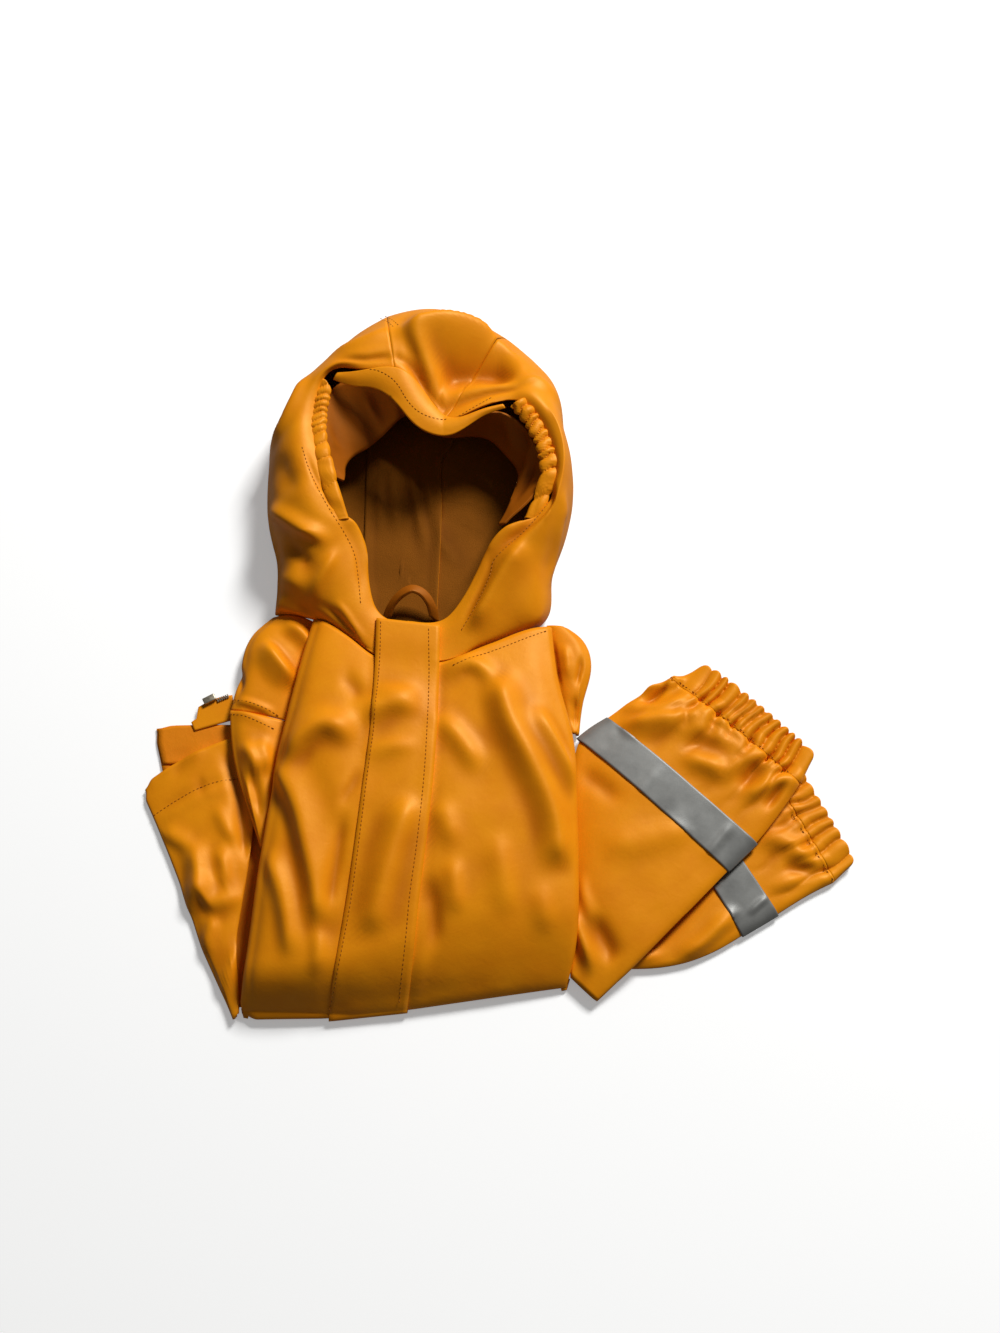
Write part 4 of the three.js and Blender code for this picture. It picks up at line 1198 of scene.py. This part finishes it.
class JACKET_OT_sleeves(bpy.types.Operator):
    """Make both sleeves, with their elastic cuffs and their reflective tape"""

    bl_idname = "jacket.sleeves"
    bl_label = "Sleeves"

    def execute(self, context):
        # side: folds, the cuff's two ends, grooves, their height, the middle's height, the cuff's depth
        for side, rows, ends, grooves, height, middle, band in (
            ("left", SLEEVE_FOLDS, (160, 8, 251, -77), CUFF_GROOVES, 0.0048, 0.011, 0.027),
            ("right", UNDER_SLEEVE_FOLDS, (224, -60, 277, -161), UNDER_CUFF_GROOVES, 0.0036, 0.005, 0.025),
        ):
            sleeve, cuff, tape = pieces = [
                grow(side + "_sleeve", 3), grow(side + "_cuff", 4), grow(side + "_reflective_band", 4)
            ]
            press(pieces, rows, reach=0.005)
            for piece in pieces:
                ripple(piece, 0.026, 0.7, 9)
            gather(pieces[:2], ends, grooves, height, band, 0.034, middle)
            settle(sleeve, side + "_sleeve", "laid", ["stage_floor"])
            settle(cuff, side + "_cuff", "gathered", ["stage_floor"])
            settle(tape, side + "_reflective_band", "laid", [side + "_sleeve"], "tape", "reflective_tape")
        return {"FINISHED"}


class JACKET_OT_hood(bpy.types.Operator):
    """Make the hood's three panels, its facing, its brim, its casings and the hanger loop"""

    bl_idname = "jacket.hood"
    bl_label = "Hood"

    def execute(self, context):
        pieces = [grow(name, 3, lined=name.endswith("panel")) for name in HOOD_SHELL]
        panels, (shaded_facing, brim) = pieces[:3], pieces[3:]
        centre = panels[2]
        slope(panels + [brim], CROWN_CREST, CROWN_SEAM, CROWN_LIFTS, CROWN_SINK)
        press(pieces, HOOD_FOLDS, reach=0.015, on=panels + [brim])
        press(panels, HOOD_FLOOR_FOLDS, start=0.025, reach=0.004)
        iron(centre, (-82, 92), 0.018)
        tuck(centre, (-48, 203), 18, (2.5, 0), 0.035)
        lap(centre, 0.022, 0.003, 0.0016)
        press([shaded_facing], FACING_FOLDS, reach=0.005)
        splay(shaded_facing, -0.108, 0.012, 0.0045)
        for piece in pieces:
            ripple(piece, 0.030, 0.9, 12, outward=HOOD_MIDDLE)
        for name, piece in zip(HOOD_SHELL, pieces):
            # The mouth's strip takes its darkened orange, which is painted shade; the rest of the shell takes
            # the coat.
            look = ("shaded_facing", "hood_facing_cloth") if piece == shaded_facing else ("coat", "coated_cloth")
            settle(piece, name, "draped", ["stage_floor"], *look)
        # The panels' inner faces take the bare knit, its colour partly painted shade inside the hood.
        for piece in panels:
            piece.data.materials.append(material("knit back and shade"))
        for name, (numbers, pinches, height, lean, tail) in CASINGS.items():
            piece = grow(name, 4)
            scrunch(piece, numbers, pinches, height, lean, tail)
            settle(piece, name, "gathered", [name.replace("casing_", "") + "_panel"])
        loop = grow("hanger_loop", 3)
        turn_tape(loop, LOOP_PATH)
        # The hanger loop takes the mouth strip's darkened orange: painted shade.
        settle(loop, "hanger_loop", "hung", ["hood_centre_panel"], "shaded_facing")
        return {"FINISHED"}


def metal_block(place, size, turn):
    """A block of zip metal at its size and place, turned on the floor by an angle in degrees."""
    deselect()
    bpy.ops.mesh.primitive_cube_add(size=1, location=place)
    made = bpy.context.active_object
    made.scale = size
    made.rotation_euler = (0, 0, math.radians(turn))
    bpy.ops.object.transform_apply(location=True, rotation=True, scale=True)
    made.data.materials.append(material("metal"))
    return made


class JACKET_OT_zip_end(bpy.types.Operator):
    """Make the end of the zip that shows beyond the folded front"""

    bl_idname = "jacket.zip_end"
    bl_label = "Zip end"

    def execute(self, context):
        tape = grow("zip_tape_end", 3)
        spots = places_of(tape)
        spots[:, 1] -= 0.009 * (spots[:, 1] < spots[:, 1].mean())
        set_places(tape, spots)
        settle(tape, "zip_tape_end", "laid", ["lower_fronts"])
        low, high = (np.array(corner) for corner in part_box("zip_end_box"))
        middle, size = (low + high) / 2, high - low
        box = metal_block(middle, size * np.array([0.8, 0.5, 0.9]), 28)
        box.name = "zip_end_box_metal"
        bevel = box.modifiers.new("Soft edges", "BEVEL")
        bevel.width = 0.0007
        bevel.segments = 3
        apply_all(box)
        smooth(box)
        for number in range(context.scene.trim_settings.teeth):
            along = 0.0062 + 0.0017 * number
            step = np.array([0.917 * along + 0.001, 0.399 * along - 0.0028, -0.0012])
            tooth = metal_block(middle + step, (0.0009, 0.0030, 0.0014), 23.5)
            take(box)
            tooth.select_set(True)
            bpy.ops.object.join()
        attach(box, "root")
        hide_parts("zip_end_box")
        return {"FINISHED"}


class JACKET_OT_stitches(bpy.types.Operator):
    """Sew the rows of stitching on the finished cloth"""

    bl_idname = "jacket.stitches"
    bl_label = "Stitches"

    def execute(self, context):
        for name, (nodes, lines) in STITCHES.items():
            sew(name, [finished[node] for node in nodes], lines)
        return {"FINISHED"}


def stitch_shape(length, radius):
    """One stitch: a thread that rises from the cloth and goes back in, with few faces."""
    sides = STITCH_SIDES
    places, faces = [], []
    for along, thick, lift in STITCH_STATIONS:
        for side in range(sides):
            turn = 2 * math.pi * side / sides
            rise = radius * (thick * math.sin(turn) + lift)
            places.append((along * length, radius * thick * math.cos(turn), rise))
    last = (len(STITCH_STATIONS) - 1) * sides
    for ring in range(0, last, sides):
        for side in range(sides):
            a, b = ring + side, ring + (side + 1) % sides
            faces.append((a, a + sides, b + sides, b))
    faces.append(tuple(range(sides)))
    faces.append(tuple(reversed(range(last, last + sides))))
    return np.array(places), faces


def sew(name, pieces, lines):
    """Lay stitches along lines on finished cloth, as one piece."""
    trim = bpy.context.scene.trim_settings
    shape, faces = stitch_shape(trim.stitch_length, trim.thread_radius)
    tree = surface_of(pieces)
    places, all_faces = [], []
    for numbers in lines:
        spots, normals, way, _, _ = lay(numbers, tree, step=trim.stitch_pitch)
        for spot, up, along in zip(spots, normals, way):
            along = along - up * (along @ up)
            along /= np.linalg.norm(along)
            across = np.cross(up, along)
            base = len(places) * len(shape)
            places.append(spot + shape @ np.stack([along, across, up]))
            all_faces.extend([base + v for v in face] for face in faces)
    mesh = bpy.data.meshes.new("stitches_" + name)
    mesh.from_pydata(np.concatenate(places).tolist(), [], all_faces)
    piece = bpy.data.objects.new("stitches_" + name, mesh)
    bpy.context.scene.collection.objects.link(piece)
    mesh.materials.append(material("thread"))
    smooth(piece)
    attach(piece, "root")


class JACKET_OT_stage(bpy.types.Operator):
    """Set the plain floor, the soft light and the camera"""

    bl_idname = "jacket.stage"
    bl_label = "Stage"

    def execute(self, context):
        stage = context.scene.stage_settings
        deselect()
        bpy.ops.mesh.primitive_plane_add(size=8)
        floor = context.active_object
        floor.name = "stage_floor"
        made, tree, shader = start_material(
            "Finish floor", Base_Color=(*stage.floor, 1), Roughness=0.9, Specular_IOR_Level=0.1,
            Emission_Color=(1, 1, 1, 1), Emission_Strength=stage.floor_glow,
        )
        dim = node(tree, "ShaderNodeBsdfDiffuse", Color=(*(stage.bounce * c for c in stage.floor), 1))
        mix = tree.nodes.new("ShaderNodeMixShader")
        path = tree.nodes.new("ShaderNodeLightPath")
        tree.links.new(path.outputs["Is Camera Ray"], mix.inputs["Fac"])
        tree.links.new(dim.outputs["BSDF"], mix.inputs[1])
        tree.links.new(shader.outputs["BSDF"], mix.inputs[2])
        tree.links.new(mix.outputs["Shader"], tree.nodes["Material Output"].inputs["Surface"])
        floor.data.materials.append(made)
        world = context.scene.world or bpy.data.worlds.new("World")
        context.scene.world = world
        world.use_nodes = True
        sky = world.node_tree.nodes["Background"]
        sky.inputs["Color"].default_value = (1, 1, 1, 1)
        sky.inputs["Strength"].default_value = stage.fill
        self.lamp("Key light", stage.key, KEY_SIZE, KEY_PLACE)
        target = Vector((PLAN[0] * MM, PLAN[1] * MM, 0.015))
        away = Vector((0, -math.cos(stage.elevation), math.sin(stage.elevation)))
        data = bpy.data.cameras.new("Camera")
        data.lens = stage.lens
        data.sensor_width = 36
        data.clip_start = 0.05
        data.clip_end = 20
        camera = bpy.data.objects.new("Camera", data)
        context.scene.collection.objects.link(camera)
        camera.location = target + away * stage.distance
        camera.rotation_euler = (math.pi / 2 - stage.elevation, 0, 0)
        context.scene.camera = camera
        context.scene.view_settings.view_transform = "Standard"
        return {"FINISHED"}

    @staticmethod
    def lamp(name, power, size, place):
        """A square soft light that faces the jacket."""
        data = bpy.data.lights.new(name, "AREA")
        data.energy = power
        data.size = size
        lamp = bpy.data.objects.new(name, data)
        bpy.context.scene.collection.objects.link(lamp)
        lamp.location = place
        lamp.rotation_euler = (-Vector(place)).to_track_quat("-Z", "Y").to_euler()


class JACKET_PT_panel(bpy.types.Panel):
    """The jacket's settings and steps"""

    bl_idname = "JACKET_PT_panel"
    bl_label = "Rain jacket"
    bl_space_type = "VIEW_3D"
    bl_region_type = "UI"
    bl_category = "Jacket"

    def draw(self, context):
        scene = context.scene
        for settings in (scene.cloth_settings, scene.trim_settings, scene.stage_settings):
            box = self.layout.box()
            for name in settings.bl_rna.properties.keys():
                if name not in ("rna_type", "name"):
                    box.prop(settings, name)
        for step in STEPS:
            self.layout.operator(step.bl_idname)


STEPS = (
    JACKET_OT_stage,
    JACKET_OT_lower,
    JACKET_OT_body,
    JACKET_OT_shoulders,
    JACKET_OT_sleeves,
    JACKET_OT_hood,
    JACKET_OT_zip_end,
    JACKET_OT_stitches,
)
SETTINGS = (ClothSettings, TrimSettings, StageSettings)


def register():
    """Add the settings, the steps and the panel."""
    for group in (*SETTINGS, *STEPS, JACKET_PT_panel):
        bpy.utils.register_class(group)
    bpy.types.Scene.cloth_settings = PointerProperty(type=ClothSettings)
    bpy.types.Scene.trim_settings = PointerProperty(type=TrimSettings)
    bpy.types.Scene.stage_settings = PointerProperty(type=StageSettings)


def unregister():
    """Take them away again."""
    del bpy.types.Scene.stage_settings
    del bpy.types.Scene.trim_settings
    del bpy.types.Scene.cloth_settings
    for group in reversed((*SETTINGS, *STEPS, JACKET_PT_panel)):
        bpy.utils.unregister_class(group)


def main():
    """Make everything."""
    register()
    for step in STEPS:
        getattr(bpy.ops.jacket, step.bl_idname.split(".")[1])()


if __name__ == "__main__":
    main()
